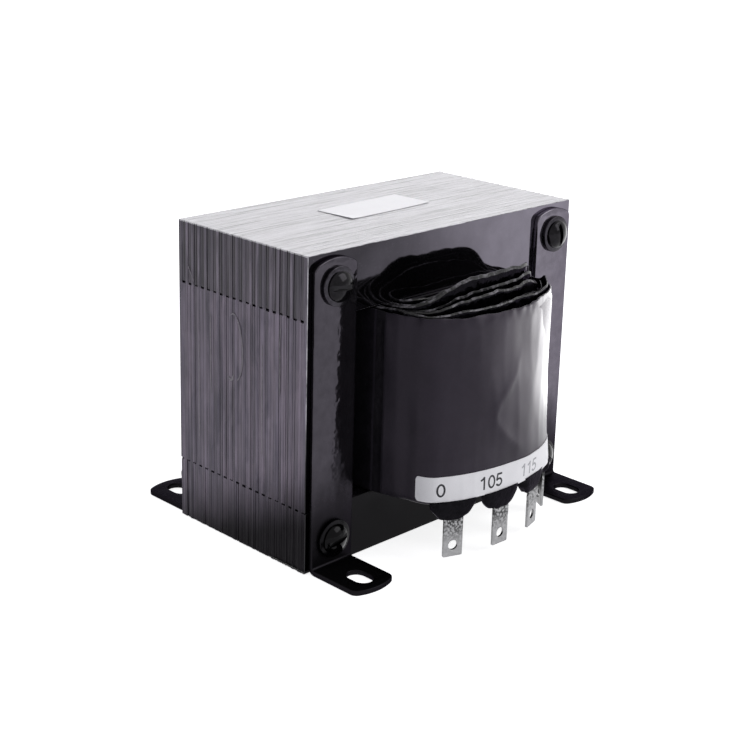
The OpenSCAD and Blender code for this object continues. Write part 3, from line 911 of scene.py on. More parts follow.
@cache
def copper_finish():
    """Enamelled wire, nearly hidden by the varnish."""
    finish = sizes("finish")
    m, film = filmed("varnished_copper", 1.2, 3.5, rough=(0.12, 0.36), bump=0.08, metallic=0.6)
    tone = m.ramp(film["Mottle"], (0.42, scaled(finish.layers, 1.2)), (0.72, finish.copper))
    m.feed("Base Color", tone)
    return m.material


@cache
def paper_finish():
    """White label paper with a faint grain and stain."""
    base = sizes("finish").paper
    m, film = filmed("label_paper", 0.5, 6.0, rough=(0.38, 0.58), bump=0.02, specular=0.35)
    clean = m.shades(film["Mottle"], base, (0.3, 0.94), (0.7, 1.0))
    stained = m.mix(m.between(film["Specks"], 0.0, 0.35), clean, scaled(base, 0.6))
    m.feed("Base Color", stained)
    return m.material


@cache
def tin_finish():
    """Bright tin plate, mottled where it was dipped in solder."""
    base = sizes("finish").tin
    m, film = filmed("tin_plate", 0.7, 1.1, rough=(0.22, 0.42), bump=0.06, metallic=1.0)
    plated = m.group(drain_pool, Bottom=3.5, Top=14.5, Wander=5.0)["Pool"]
    bright = m.shades(film["Mottle"], base, (0.3, 0.72), (0.65, 1.0))
    dull = m.shades(film["Ripple"], base, (0.42, 0.05), (0.62, 1.0))
    m.feed("Base Color", m.mix(m.between(plated, 0.9, -0.3), bright, dull))
    return m.material


# Pieces

def e_outline(step, jx, jz, gap):
    """E sheet with its yoke up, as a walk against the clock in XZ."""
    core = sizes("core")
    half, tongue = CORE_HALF_W, core.tongue_w / 2
    inner = half - core.leg_w
    low, window_top = CORE_LOW + YOKE_H + gap, CORE_TOP - YOKE_H
    out, top = half - step, CORE_TOP - min(step, core.top_step)
    walk = [(-out, low), (-inner, low), (-inner, window_top), (-tongue, window_top),
            (-tongue, low), (tongue, low), (tongue, window_top), (inner, window_top),
            (inner, low), (out, low), (out, top), (-out, top)]
    return [(x + jx, z + jz) for x, z in walk]


def i_outline(step, jx, jz, gap):
    """I sheet under an E, as a walk against the clock in XZ."""
    out, low = CORE_HALF_W - step, CORE_LOW + min(step, sizes("core").top_step)
    high = CORE_LOW + YOKE_H - gap
    return [(x + jx, z + jz) for x, z in ((-out, low), (out, low), (out, high), (-out, high))]


def upside_down(walk):
    return [(x, CORE_LOW + CORE_TOP - z) for x, z in reversed(walk)]


def inset(walk, depth):
    """A square-cornered walk moved inwards."""
    moved = []
    for i, (x, z) in enumerate(walk):
        before, after = walk[i - 1], walk[(i + 1) % len(walk)]
        dx, dz = 0.0, 0.0
        for (ax, az), (bx, bz) in ((before, (x, z)), ((x, z), after)):
            run = math.hypot(bx - ax, bz - az)
            dx -= (bz - az) / run
            dz += (bx - ax) / run
        moved.append((x + dx * depth, z + dz * depth))
    return moved


def add_sheet(shell, walk, front, back, burr, worn=0.0):
    """One sheet with broken edges: finish 0 on its flats, 1 on its edges and 2 on a worn edge."""
    edge = worn or burr
    rows = [(inset(walk, edge), front), (walk, front + edge), (walk, back - burr),
            (inset(walk, burr), back)]
    rows = [[(x, y, z) for x, z in points] for points, y in rows]
    shell.grid(rows[:2], finish=2 if worn else 1)
    shell.grid(rows[1:], finish=1)
    for row, order in ((rows[0], 1), (rows[-1], -1)):
        shell.add(row[::order], [range(len(row))])


def sheet_stack(kind):
    """All sheets of one kind of group."""
    core = sizes("core")
    rng = np.random.default_rng({"e_up": 11, "i_low": 12, "e_down": 13, "i_up": 14}[kind])
    shell = Shell()
    group_t = 2 * FACE_Y / core.groups
    sheet_t = group_t / core.sheets
    turned = kind in ("e_down", "i_up")
    step = {"e_up": 0.0, "e_down": core.step}.get(kind, core.i_step)
    shape = e_outline if kind.startswith("e") else i_outline
    most_x, most_z, film = 0.11, 0.04, 0.02
    for group in range(int(turned), core.groups, 2):
        outermost = group in (0, core.groups - 1)
        gap = core.joint * rng.uniform(0.4, 1.0) / 2
        lean_x, lean_z = rng.normal(0, core.scatter, 2)
        for sheet in range(core.sheets):
            jx = np.clip(rng.normal(0, core.scatter) + lean_x, -most_x, most_x)
            jz = np.clip(rng.normal(0, core.scatter / 3) + lean_z / 3, -most_z, most_z)
            back_off = step
            if outermost:
                jx, jz = jx / 3, jz / 3
            elif sheet in (0, core.sheets - 1):
                back_off += core.rib * rng.uniform(0.5, 1.6)
            front = -FACE_Y + group * group_t + sheet * sheet_t
            walk = shape(back_off, jx, jz, gap)
            if turned:
                walk = upside_down(walk)
            add_sheet(shell, walk, front + (film if sheet else 0.0), front + sheet_t, core.burr,
                      core.worn if group == 0 and sheet == 0 else 0.0)
    return shell


def varnish_run(shell, walk, wide, high):
    """A raised run of varnish along a walk of (y, z) points on the left side of the core."""
    walk, rows = np.array(walk, dtype=float), []
    steps = np.append(0.0, np.cumsum(np.hypot(*np.diff(walk, axis=0).T)))
    end, taper, look = steps[-1], 1.5, 0.3

    def at(s):
        return np.array([np.interp(s, steps, column) for column in walk.T])

    for s in np.linspace(0, end, max(8, int(end / 0.5))):
        y, z = at(s)
        dy, dz = at(min(s + look, end)) - at(max(s - look, 0.0))
        run = math.hypot(dy, dz)
        swell = min(1.0, s / taper, (end - s) / taper)
        swell = swell * (1 + 0.35 * bumps((s, y, z), 3.0, 2.6)) + 0.05
        row = []
        for a in np.linspace(-0.4, math.pi + 0.4, 9):
            off = wide / 2 * swell * math.cos(a) / run
            row.append((-CORE_HALF_W - high * swell * math.sin(a), y - dz * off, z + dy * off))
        rows.append(row)
    shell.closed(rows)


def varnish_runs():
    """Runs and beads that the varnish left on the core's left side."""
    shell, rng = Shell(), np.random.default_rng(21)
    drop = [(3.0 - 4.1 * math.sin(a) * (1 - 0.15 * math.cos(a)), 61.5 + 10.4 * math.cos(a))
            for a in np.linspace(-0.5, 2.9, 40)]
    varnish_run(shell, drop, 0.5, 0.16)
    varnish_run(shell, [(5.6, 52.5), (4.4, 51.2), (3.4, 51.6), (2.9, 53.6)], 0.8, 0.2)
    varnish_run(shell, [(24.8, 82.6), (23.9, 81.6), (22.8, 79.8), (21.7, 78.2), (21.3, 76.9)],
                0.35, 0.12)
    for y, high, low in ((13.5, 70.0, 44.0), (-9.8, 66.0, 31.0), (-17.4, 73.0, 52.0),
                         (19.2, 60.0, 28.0)):
        sway = [(y + 0.35 * bumps((y, z, 0), 9, 4.1), z) for z in np.linspace(high, low, 24)]
        varnish_run(shell, sway, 0.42, 0.07)
    for y in np.arange(-28.0, -12.0, 1.15):
        size = rng.uniform(0.45, 0.85)
        y += rng.uniform(-0.3, 0.3)
        sag = CORE_LOW + 0.5 + rng.uniform(0, 0.3)
        walk = [(y - size, CORE_LOW + 0.75), (y, sag), (y + size, CORE_LOW + 0.75)]
        varnish_run(shell, walk, 1.5 * size, 0.45 * size)
    return shell


class TRANSFORMER_OT_core(bpy.types.Operator):
    """Builds the interleaved sheets of the core"""
    bl_idname = "transformer.core"
    bl_label = "Core sheets"

    def execute(self, context):
        finishes = [sheet_face_finish(), sheet_edge_finish(), plain("worn_edge")]
        for kind, name, node in (
            ("e_up", "e_sheets_yoke_up", "e_laminations_yoke_up"),
            ("i_low", "i_sheets_lower", "i_laminations_lower"),
            ("e_down", "e_sheets_yoke_down", "e_laminations_yoke_down"),
            ("i_up", "i_sheets_upper", "i_laminations_upper"),
        ):
            sheet_stack(kind).piece(name, finishes, "core_laminations", [node])
        varnish_runs().piece("varnish_runs", [plain("varnish_beads")], "core_laminations",
                             smooth=60)
        return {"FINISHED"}


def bracket_blank():
    """Flat blank of a bracket: x across, y along with the bend's upper end at 0."""
    b = sizes("bracket")
    outer = b.bend_r + b.strap_t
    bend = (b.bend_r + b.strap_t / 2) * math.pi / 2
    half = b.strap_w / 2
    strap = STRAP_TOP - outer
    foot = FOOT_TIP - FACE_Y - outer
    side_x = half - b.corner_r
    side_y = math.sqrt((b.end_r - b.corner_r) ** 2 - side_x ** 2)
    lean = math.degrees(math.atan2(side_y, side_x))
    tip = arc((side_x, side_y), b.corner_r, 0, lean, 9)
    tip += arc((0, 0), b.end_r, lean, 180 - lean, 21)[1:-1]
    tip += arc((-side_x, side_y), b.corner_r, 180 - lean, 180, 9)
    walk = [(x, strap - b.end_r + y) for x, y in tip]
    walk += [(-x, -bend - foot + b.end_r - y) for x, y in tip]
    slot_y = -bend - (b.slot_reach - outer)
    reach = (b.slot_l - b.slot_w) / 2
    slot = arc((0, slot_y + reach), b.slot_w / 2, 0, 180, 20)
    slot += arc((0, slot_y - reach), b.slot_w / 2, 180, 360, 20)
    plate = plate_from_outlines([walk, slot], b.strap_t, b.edge_r)
    cut_across(plate, np.linspace(-bend, 0, 9))
    return plate, bend, outer


def bracket_shell(x, side):
    """Bracket bent to its place; side is -1 at the front and 1 at the back."""
    b = sizes("bracket")
    plate, bend, outer = bracket_blank()

    def place(u, v, w):
        w += b.strap_t / 2
        if v >= 0:
            y, z = -FACE_Y - w, outer + v
        elif v > -bend:
            a = -v / bend * math.pi / 2
            y, z = -FACE_Y - outer + (outer - w) * math.cos(a), outer - (outer - w) * math.sin(a)
        else:
            y, z = -FACE_Y - outer + (v + bend), w
        return x + u, -side * y, z

    shell = Shell()
    take(plate, shell, place)
    return shell


class TRANSFORMER_OT_brackets(bpy.types.Operator):
    """Builds the four bent foot brackets"""
    bl_idname = "transformer.brackets"
    bl_label = "Foot brackets"

    def execute(self, context):
        for front, side in (("front", -1), ("back", 1)):
            for hand, x in (("left", -BOLT_X), ("right", BOLT_X)):
                name = f"{front}_{hand}_bracket"
                bracket_shell(x, side).piece(name + "_bent", [bracket_finish()], "black_bracket",
                                             [name], smooth=40)
        return {"FINISHED"}


def bolt_head(turn):
    """Domed head with a driver slot, standing out along -Y from its underside at 0."""
    f = sizes("fastener")
    r, rim, columns = f.head_d / 2, 0.7, 25
    dome = f.head_h - rim
    ball = (r * r + dome * dome) / (2 * dome)
    half, soft, roll = f.driver_w / 2, 0.12, 0.35
    edge = r * 0.985
    across = sorted({*np.linspace(-edge, -half - soft, 14), *np.linspace(-half - soft, -half, 3),
                     *np.linspace(-half, half, 5), *np.linspace(half, half + soft, 3),
                     *np.linspace(half + soft, edge, 14)})

    def height(u, v):
        h = rim + math.sqrt(max(ball * ball - u * u - v * v, 0)) - (ball - dome)
        rolled = max(0.0, math.hypot(u, v) - (r - roll)) / roll
        h -= 0.25 * rolled * rolled
        cut = f.head_h - f.driver_depth
        return h - max(h - cut, 0) * ease((half + soft - abs(u)) / soft)

    rows = []
    for u in across:
        reach = math.sqrt(r * r - u * u)
        row = [-reach * math.cos(math.pi * k / (columns - 1)) for k in range(columns)]
        rows.append([(u, v, height(u, v)) for v in row])
    shell = Shell()
    shell.grid(rows, wrap_across=False)
    walk = [row[0] for row in rows] + rows[-1][1:-1]
    walk += [row[-1] for row in reversed(rows)] + rows[0][-2:0:-1]
    under = [(u, v, 0.0) for u, v, h in walk]
    shell.grid([walk, under])
    shell.add(under, [range(len(under))])
    c, s = math.cos(turn), math.sin(turn)
    shell.move(lambda u, v, h: (u * s + v * c, -h, -u * c + v * s))
    return shell


def bolt_shank(shell, end):
    """Plain shank along +Y from 0, with a thread near its end."""
    f = sizes("fastener")
    count, depth, tip = 48, 0.3, 0.3
    r, plain_end = f.bolt_d / 2 - 0.02, end - 7.0
    rows = [ring(r, 0.0, count), ring(r, plain_end, count)]
    for y in np.arange(plain_end + 0.1, end - 0.35, 0.11):
        fade, row = min(1.0, (y - plain_end) / 0.8), []
        for i in range(count):
            a, wave = TAU * i / count, (y / f.pitch - i / count) % 1
            radius = r - depth * fade * (1 - abs(2 * wave - 1))
            row.append((radius * math.cos(a), y, radius * math.sin(a)))
        rows.append(row)
    rows += [ring(r - depth, end - tip, count), ring(r - depth - tip, end, count)]
    shell.closed(rows)


def washer_rows():
    """Rings of a washer along +Y."""
    f = sizes("fastener")
    inner, outer, t, soft = f.bolt_d / 2 + 0.05, f.washer_d / 2, f.washer_t, 0.22
    section = [(inner, 0), (outer - soft, 0), (outer, soft), (outer, t - soft),
               (outer - 0.3 * soft, t - 0.3 * soft), (outer - soft, t), (inner + soft, t),
               (inner, t - soft)]
    return [ring(r, y, 64) for r, y in section]


def nut_shell():
    """Hexagon nut along +Y with chamfered corners and mouth."""
    f = sizes("fastener")
    count, mouth, soft = 96, 0.35, 0.12
    turns = [TAU * i / count for i in range(count)]
    flat, bore = f.nut_af / 2, f.bolt_d / 2 + 0.04
    hexagon = [flat / math.cos(a % (math.pi / 3) - math.pi / 6) for a in turns]
    slope = [max(0.0, (r - flat + soft) * math.tan(math.radians(30))) for r in hexagon]

    def row(radii, heights):
        return [(r * math.cos(a), y, r * math.sin(a)) for a, r, y in zip(turns, radii, heights)]

    shell = Shell()
    shell.grid([
        ring(bore, 0, count),
        ring(flat - 0.1, 0, count),
        row(hexagon, slope),
        row(hexagon, [f.nut_h - drop for drop in slope]),
        ring(flat - soft, f.nut_h, count),
        ring(bore + mouth, f.nut_h, count),
        ring(bore, f.nut_h - mouth, count),
    ], wrap_along=True)
    return shell


class TRANSFORMER_OT_fasteners(bpy.types.Operator):
    """Builds bolts, nuts and washers"""
    bl_idname = "transformer.fasteners"
    bl_label = "Bolts, nuts and washers"

    def execute(self, context):
        f = sizes("fastener")
        under_washer = FACE_Y + sizes("bracket").strap_t
        seat = under_washer + f.washer_t
        turns = {"upper_left": 4, "upper_right": 82, "lower_left": -12, "lower_right": 35}
        finishes, slot = [plain("varnished_fasteners"), plain("varnished_heads")], "dark_fastener"
        for key, turn in turns.items():
            z = BOLT_HIGH if key.startswith("upper") else BOLT_LOW
            x = -BOLT_X if key.endswith("left") else BOLT_X
            bolt = bolt_head(math.radians(-turn))
            # The heads take the finish that is painted darker.
            bolt.finish = [1] * len(bolt.faces)
            bolt_shank(bolt, 2 * seat + f.nut_h + f.bolt_end)
            bolt.move(lambda u, v, w: (x + u, v - seat, z + w))
            bolt.piece(key + "_slotted_bolt", finishes, slot, [key + "_bolt"], smooth=35)
            nut = nut_shell()
            nut_turn = math.radians(17 + 3 * turn)
            c, s = math.cos(nut_turn), math.sin(nut_turn)
            nut.move(lambda u, v, w: (x + u * c - w * s, seat + v, z + u * s + w * c))
            nut.piece(key + "_hex_nut", finishes, slot, [key + "_nut"], smooth=25)
        for end, side in (("front", -1), ("back", 1)):
            shell = Shell()
            for x in (-BOLT_X, BOLT_X):
                for z in (BOLT_LOW, BOLT_HIGH):
                    start = len(shell.points)
                    shell.grid(washer_rows(), wrap_along=True)
                    shell.move(lambda u, v, w: (x + u, side * (under_washer + v), z + w), start)
            shell.piece(end + "_round_washers", finishes, slot, [end + "_washers"], smooth=40)
        return {"FINISHED"}


class TRANSFORMER_OT_wrap(bpy.types.Operator):
    """Builds the creased wrap round the coil"""
    bl_idname = "transformer.wrap"
    bl_label = "Coil wrap"

    def execute(self, context):
        coil, plan, height = sizes("coil"), Outline(1.0, 0.75), COIL_TOP - COIL_LOW
        around, t = range(plan.count), coil.wrap_t
        levels = [0.0, 0.25, 0.7, *np.linspace(1.6, height - 4.5, 44),
                  *np.linspace(height - 4.0, height - 0.5, 9)]
        rows = [[self.outside(coil, plan, i, level) for i in around] for level in levels]
        edge = rows[-1]
        for depth, rise in ((0.12, 0.22), (0.4, 0.24), (t - 0.08, 0.05), (t, -0.4)):
            rows.append([(x - plan.nx[i] * depth, y - plan.ny[i] * depth, z + rise)
                         for i, (x, y, z) in enumerate(edge)])
        for level in (height - 3.0, height / 2, 1.5, 0.0):
            rows.append([plan.off(i, -t - 0.3, COIL_LOW + level) for i in around])
        shell = Shell()
        shell.grid(rows, wrap_along=True)
        # Beyond the cover the under-layer is bare, apart from a narrow band of the cover. Its
        # darker finish also paints the shade in the gap beside the core.
        past = [past_cover(coil, x, y) for x, y in zip(plan.x, plan.y)]
        shell.finish = [int(0 < p < 2.8 or p > 3.7) for p in past] * len(rows)
        shell.piece("creased_wrap", [plain("black_wrap"), plain("wrap_flank")], "coil_wrap",
                    ["outer_wrap"], smooth=60)
        return {"FINISHED"}

    def outside(self, coil, plan, i, level):
        """Place on the wrap's outside at a level, which follows the wavy rim."""
        x, y, height = plan.x[i], plan.y[i], COIL_TOP - COIL_LOW
        rim = height - 0.15 + 0.5 * bumps((x, y, 0), 9, 1.7) + 0.35 * bumps((x, y, 0), 3.2, 4.4)
        z = COIL_LOW + level * rim / height
        by_rim, by_end = max(0.0, (level - height + 5.0) / 5.0), max(0.0, 1.0 - level / 1.2)
        crumple = 0.5 * bumps((x, y, z), (2.6, 2.6, 5.0), 9.3) + 0.4 * bumps((x, y, z), 6, 2.9)
        out = wrap_swell(coil, x, y, z) - 0.25
        out += by_rim ** 2 * (crumple - 0.75) - 0.5 * by_end ** 2
        past = past_cover(coil, x, y)
        if past < 0:
            out += 0.35 * math.exp(past / 4)
        # The layers inside keep the wrap from sinking in further than this.
        least, soft = -0.45 - 1.3 * abs(plan.ny[i]), 0.2
        return plan.off(i, (out + least + math.hypot(out - least, soft)) / 2, z)


def paper_hump(coil, x, y, share):
    """How far the papers stand up near one corner of each end."""
    x, y = (-x, -y) if y > 0 else (x, y)
    height = coil.hump * min(1.0, max(0.1, 3.0 - 3.9 * share))
    last = 32 - 40 * max(0.0, share - 0.5)
    for reach in ((x + 31) / 26, (last - x) / 8, (-y - 34) / 7):
        height *= ease(reach)
    return height


def paper_ring(shell, share, thick, top, seed):
    """One paper edge: a closed band with ruffled rims."""
    coil, plan = sizes("coil"), Outline(share, 1.1)
    tight, eared, ear_x, ear_y = share > 0.6, share > 0.75, 28.5, 42.5
    levels = [(COIL_LOW + level, 0.1 * level) for level in (0.0, 1.2, 3.0)]
    levels += [(top - level, 1 - level / 5) for level in (4.2, 2.6, 1.2, 0.5, 0.12)]

    def place(i, z, loose, side):
        x, y = plan.x[i], plan.y[i]

        def wave(size, kind):
            return bumps((x, y, 0), size, seed + kind)

        ruffle = coil.ruffle * loose * clip((abs(y) - FREE_Y) / 6)
        sway = ruffle * (1.1 * wave(11, 0) + 0.5 * wave(4, 5))
        if tight:
            sway = min(sway, 0.2)
        lift = ruffle * (1.2 * wave(14, 9) + 0.5 * wave(3, 2))
        lift += paper_hump(coil, x, y, share) * loose
        if eared and x * y < 0:
            off = (abs(x) - ear_x) ** 2 + (abs(y) - ear_y) ** 2
            lift += coil.ear * loose * math.exp(-off / 5)
        body = thick / 2 * (1 + 0.45 * loose * wave(7, 3))
        return plan.off(i, sway + side * body * (1.0 if z < top - 0.2 else 0.5), z + lift)

    outer, inner = ([[place(i, z, loose, side) for i in range(plan.count)] for z, loose in levels]
                    for side in (1, -1))
    shell.grid(outer + inner[::-1], wrap_along=True)
    # The two rows of faces at the upper rim carry the painted glints.
    rim = len(shell.finish) - (len(levels) + 2) * plan.count
    shell.finish[rim:rim + 2 * plan.count] = [1] * (2 * plan.count)


class TRANSFORMER_OT_layers(bpy.types.Operator):
    """Builds paper edges and wire turns inside the coil"""
    bl_idname = "transformer.layers"
    bl_label = "Coil layers"

    def execute(self, context):
        coil = sizes("coil")
        rng = np.random.default_rng(5)
        shell = Shell()
        for k in range(1, coil.layers):
            thick = coil.paper_t * rng.uniform(0.9, 1.25)
            top = COIL_TOP + rng.uniform(-0.5, 0.35) + 0.6 * (k < coil.layers - 1)
            paper_ring(shell, k / coil.layers, thick, top, 3.0 + k)
        for k in range(1, 2 * coil.layers - 1, 2):
            share = (k + rng.uniform(-0.25, 0.25)) / (2 * coil.layers)
            paper_ring(shell, share, 0.38, COIL_TOP - rng.uniform(0.5, 1.3), 20.0 + k)
        shell.piece("ruffled_papers", [layer_finish(), plain("paper_rims")], "layer_paper",
                    ["layer_papers"], smooth=70)
        half = coil.layers // 2
        for name, first, last in (("inner", 1, half), ("outer", half + 1, coil.layers)):
            turns = Shell()
            for k in range(first, last + 1):
                self.turns(turns, k)
            turns.piece(name + "_wire_turns", [copper_finish()], "copper_wire",
                        [name + "_winding"], smooth=60)
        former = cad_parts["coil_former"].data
        former.materials.clear()
        former.materials.append(plain("varnished_board"))
        return {"FINISHED"}

    def turns(self, shell, k):
        """One wound layer, its ends ribbed by the wires."""
        coil = sizes("coil")
        count, steps, last = 300, 6, k == coil.layers
        build = (COIL_REACH - FORMER_REACH) / coil.layers
        wires = max(1, int(build / coil.wire_d) // (2 if last else 1))
        low, high = COIL_LOW + coil.margin, COIL_TOP - coil.margin
        tops, bottoms = [], []
        for u in np.linspace(0.06, 0.28 if last else 0.92, wires * steps + 1):
            plan = Outline((k - 1 + u) / coil.layers, 1.5)
            walk = [plan.at(plan.total * i / count) for i in range(count)]
            rib = 0.3 * abs(math.sin(math.pi * len(tops) / steps))
            tops.append([(x, y, high + rib) for x, y, turn in walk])
            bottoms.append([(x, y, low - rib) for x, y, turn in walk])
        shell.grid(tops + bottoms[::-1], wrap_along=True)


def lug_place(index, back):
    """Function that stands a point at one lug's place on the outline."""
    lug = sizes("lug")
    plan = Outline(1.0, 0.1)
    scale = (plan.crown - lug.inset) / plan.crown
    s = lug.first + index * lug.pitch
    if abs(s) <= plan.front_s * scale:
        s = s / scale
    else:
        past = (abs(s) - plan.front_s * scale) * plan.corner / (plan.corner - lug.inset)
        s = math.copysign(plan.front_s + past, s)
    x, y, turn = plan.at(s)
    x, y = x - lug.inset * math.sin(turn), y + lug.inset * math.cos(turn)
    c, sn = math.cos(turn), math.sin(turn)
    flip = -1 if back else 1

    def place(u, v, w):
        return flip * (x + u * c - v * sn), flip * (y + u * sn + v * c), w
    return place


class TRANSFORMER_OT_lugs(bpy.types.Operator):
    """Builds the tinned lugs and their taped roots"""
    bl_idname = "transformer.lugs"
    bl_label = "Lugs and roots"

    def execute(self, context):
        lug = sizes("lug")
        for end, back in (("front", 0), ("back", 1)):
            roots = Shell()
            for index in range(lug.count):
                place = lug_place(index, back)
                self.lug(place, f"{end}_lug_{index + 1}", index + 4 * back)
                self.root(roots, place, index + 4 * back)
            roots.piece(end + "_taped_roots", [plain("root_tape")], "root_tape",
                        [end + "_lug_roots"], smooth=60)
        return {"FINISHED"}

    def lug(self, place, node, seed):
        lug = sizes("lug")
        half, top, nick = lug.width / 2, COIL_LOW - LUG_LOW, 0.25
        walk = [(-half + nick, 0), (half - nick, 0), (half, nick), (half, top), (-half, top),
                (-half, nick)]
        around = 40
        hole = arc((0, lug.hole_up), lug.hole_d / 2, 0, 360 - 360 / around, around)
        plate = plate_from_outlines([walk, hole], lug.thick, 0.1)
        cut_across(plate, np.linspace(1.0, top - 0.5, 16))
        cut_across(plate, np.linspace(-half + 0.6, half - 0.6, 8), axis=0)

        def shape(u, v, w):
            solder = clip((v - 4.8) / 5.0)
            blob = solder * 0.22 * bumps((u + 9 * seed, v, w), 1.5, 1.3 + seed)
            return place(u, w * (1 + blob / lug.thick * 1.4), LUG_LOW + v)

        shell = Shell()
        take(plate, shell, shape)
        shell.piece(node + "_tinned", [tin_finish()], "tinned_lug", [node], smooth=40)

    def root(self, shell, place, seed):
        """Lump of tape round a lug, ragged at its lower edge."""
        lug, rows = sizes("lug"), []
        count, levels, square, sunk, ragged = 56, 14, 3.2, 0.7, 0.45
        for t in np.linspace(0, 1, levels):
            bulge, row = 1 - 0.46 * t ** 1.9, []
            for a in np.linspace(0, TAU, count, endpoint=False):
                c, s = math.cos(a), math.sin(a)
                flat = 1 / (abs(c) ** square + abs(s) ** square) ** (1 / square)
                u, v = lug.root_l / 2 * c * flat, lug.root_d / 2 * s * flat
                w = COIL_LOW + sunk - (lug.root_h + sunk) * t
                rough = 1 + 0.07 * bumps((u, v, w), 2.2, 5.0 + seed)
                u, v = u * bulge * rough, v * (1 - 0.3 * t ** 3) * rough + lug.root_set
                w -= max(0.0, t - ragged) * bumps((u, v, 0), 2.4, 8.0 + seed)
                row.append(place(u, v, w))
            rows.append(row)
        shell.closed(rows)


def strip_surface(plan):
    """Function that lays a point on the wrap: length along the tap strip, rise and distance out."""
    label, coil = sizes("label"), sizes("coil")

    def place(s, rise, out):
        x, y, turn = plan.at(s)
        z = COIL_LOW + label.strip_rise + rise - label.strip_tilt * (s / 60.0 + 0.35)
        out += max(wrap_swell(coil, x, y, z) - 0.25, -0.3) + 0.05
        return x + out * math.sin(turn), y - out * math.cos(turn), z
    return place


def oval(x, y, wide, high, turns):
    return [(x + wide * math.cos(a), y + high * math.sin(a)) for a in turns]


def digit_strokes(digit):
    """Pen strokes of a digit in a box 0.6 wide and 1 high, and whether they are loops."""
    if digit == "0":
        return [oval(0.3, 0.5, 0.22, 0.44, np.linspace(0, TAU, 40, endpoint=False))], True
    if digit == "1":
        return [[(0.35, 1.0), (0.35, 0.5), (0.35, 0.0)],
                [(0.1, 0.74), (0.24, 0.82), (0.36, 0.97)]], False
    if digit == "5":
        return [oval(0.28, 0.32, 0.22, 0.26, np.linspace(2.6, -2.7, 30)),
                [(0.53, 0.94), (0.35, 0.94), (0.15, 0.94)],
                [(0.18, 0.97), (0.14, 0.7), (0.1, 0.47)]], False
    raise ValueError(f"no strokes for {digit}")


class TRANSFORMER_OT_labels(bpy.types.Operator):
    """Builds the tap strip with its numbers and the bare label on the core"""
    bl_idname = "transformer.labels"
    bl_label = "Labels"

    def execute(self, context):
        label, lug, plan = sizes("label"), sizes("lug"), Outline(1.0, 0.25)
        place, beside_lug = strip_surface(plan), 4.9
        self.strip(place, plan.end_of_turn(label.strip_turn))
        taps = label.taps.split()
        for index, text in enumerate(taps):
            faded = index and index == len(taps) - 1
            self.number(place, text, lug.first + index * lug.pitch - beside_lug,
                        plain("faded_ink" if faded else "printed_ink"))
        self.core_label()
        return {"FINISHED"}

    def strip(self, place, end):
        """Strip with rounded corners, from -end to end along the outline."""
        label, sides = sizes("label"), ([], [])
        corner, columns, rows = 1.1, 180, 9
        for k in range(rows):
            points = []
            for s in np.linspace(-end, end, columns):
                gone = max(0.0, abs(s) - (end - corner)) / corner
                cut = corner * (1 - math.sqrt(max(0.0, 1 - gone * gone)))
                points.append((s, cut + (label.strip_h - 2 * cut) * k / (rows - 1)))
            for side, out in zip(sides, (label.paper_t, 0.02)):
                side.append([place(s, rise, out) for s, rise in points])
        shell = Shell()
        shell.slab(*sides)
        shell.piece("paper_tap_strip", [paper_finish()], "label_paper", ["tap_strip"], smooth=40)

    def number(self, place, text, s, finish):
        """A tap number drawn with pen strokes on the strip."""
        label, shell, digit_box = sizes("label"), Shell(), 0.6
        high, pen = label.digit_h, label.pen / label.digit_h / 2
        base = (label.strip_h - high) / 2 - 0.2
        for nth, digit in enumerate(text):
            shift = (nth - len(text) / 2) * digit_box
            strokes, loops = digit_strokes(digit)
            for k, stroke in enumerate(strokes):
                points = [((x + shift) * label.digit_w, y) for x, y in stroke]
                ends = [points[-1], points[0]] if loops else [points[0], points[-1]]
                rows, up = [], label.paper_t + 0.012 + 0.003 * k
                for before, (x, y), after in zip(ends[:1] + points, points, points[1:] + ends[1:]):
                    dx, dy = after[0] - before[0], after[1] - before[1]
                    run = math.hypot(dx, dy)
                    pens = [(x - dy / run * e, y + dx / run * e) for e in (-pen, 0.0, pen)]
                    rows.append([place(s + u * high, base + v * high, up) for u, v in pens])
                shell.grid(rows, wrap_across=False, wrap_along=loops)
        shell.piece("tap_number_" + text, [finish], "label_paper")

    def core_label(self):
        """Bare label on the core, its front corners a little curled."""
        label, columns, rows, thick = sizes("label"), 48, 22, 0.14
        c, s = math.cos(label.label_turn), math.sin(label.label_turn)
        along = [label.label_l * (i / (columns - 1) - 0.5) for i in range(columns)]
        across = [label.label_w * (j / (rows - 1) - 0.5) for j in range(rows)]

        def place(u, v, up):
            corner = max(0.0, abs(u) - label.label_l / 2 + 4) / 4
            curl = 0.22 * corner * max(0.0, -v / label.label_w + 0.2)
            lift = max(0.02, 0.05 + 0.05 * bumps((u, v, 0), 8, 2.2) + curl)
            return u * c - v * s, label.label_back + u * s + v * c, CORE_TOP + lift + up

        shell = Shell()
        shell.slab(*([[place(u, v, up) for u in along] for v in across] for up in (0.0, thick)))
        shell.piece("paper_core_label", [paper_finish()], "label_paper", ["top_label"], smooth=40)


PHOTO_PX = 750
SENSOR_MM = 36


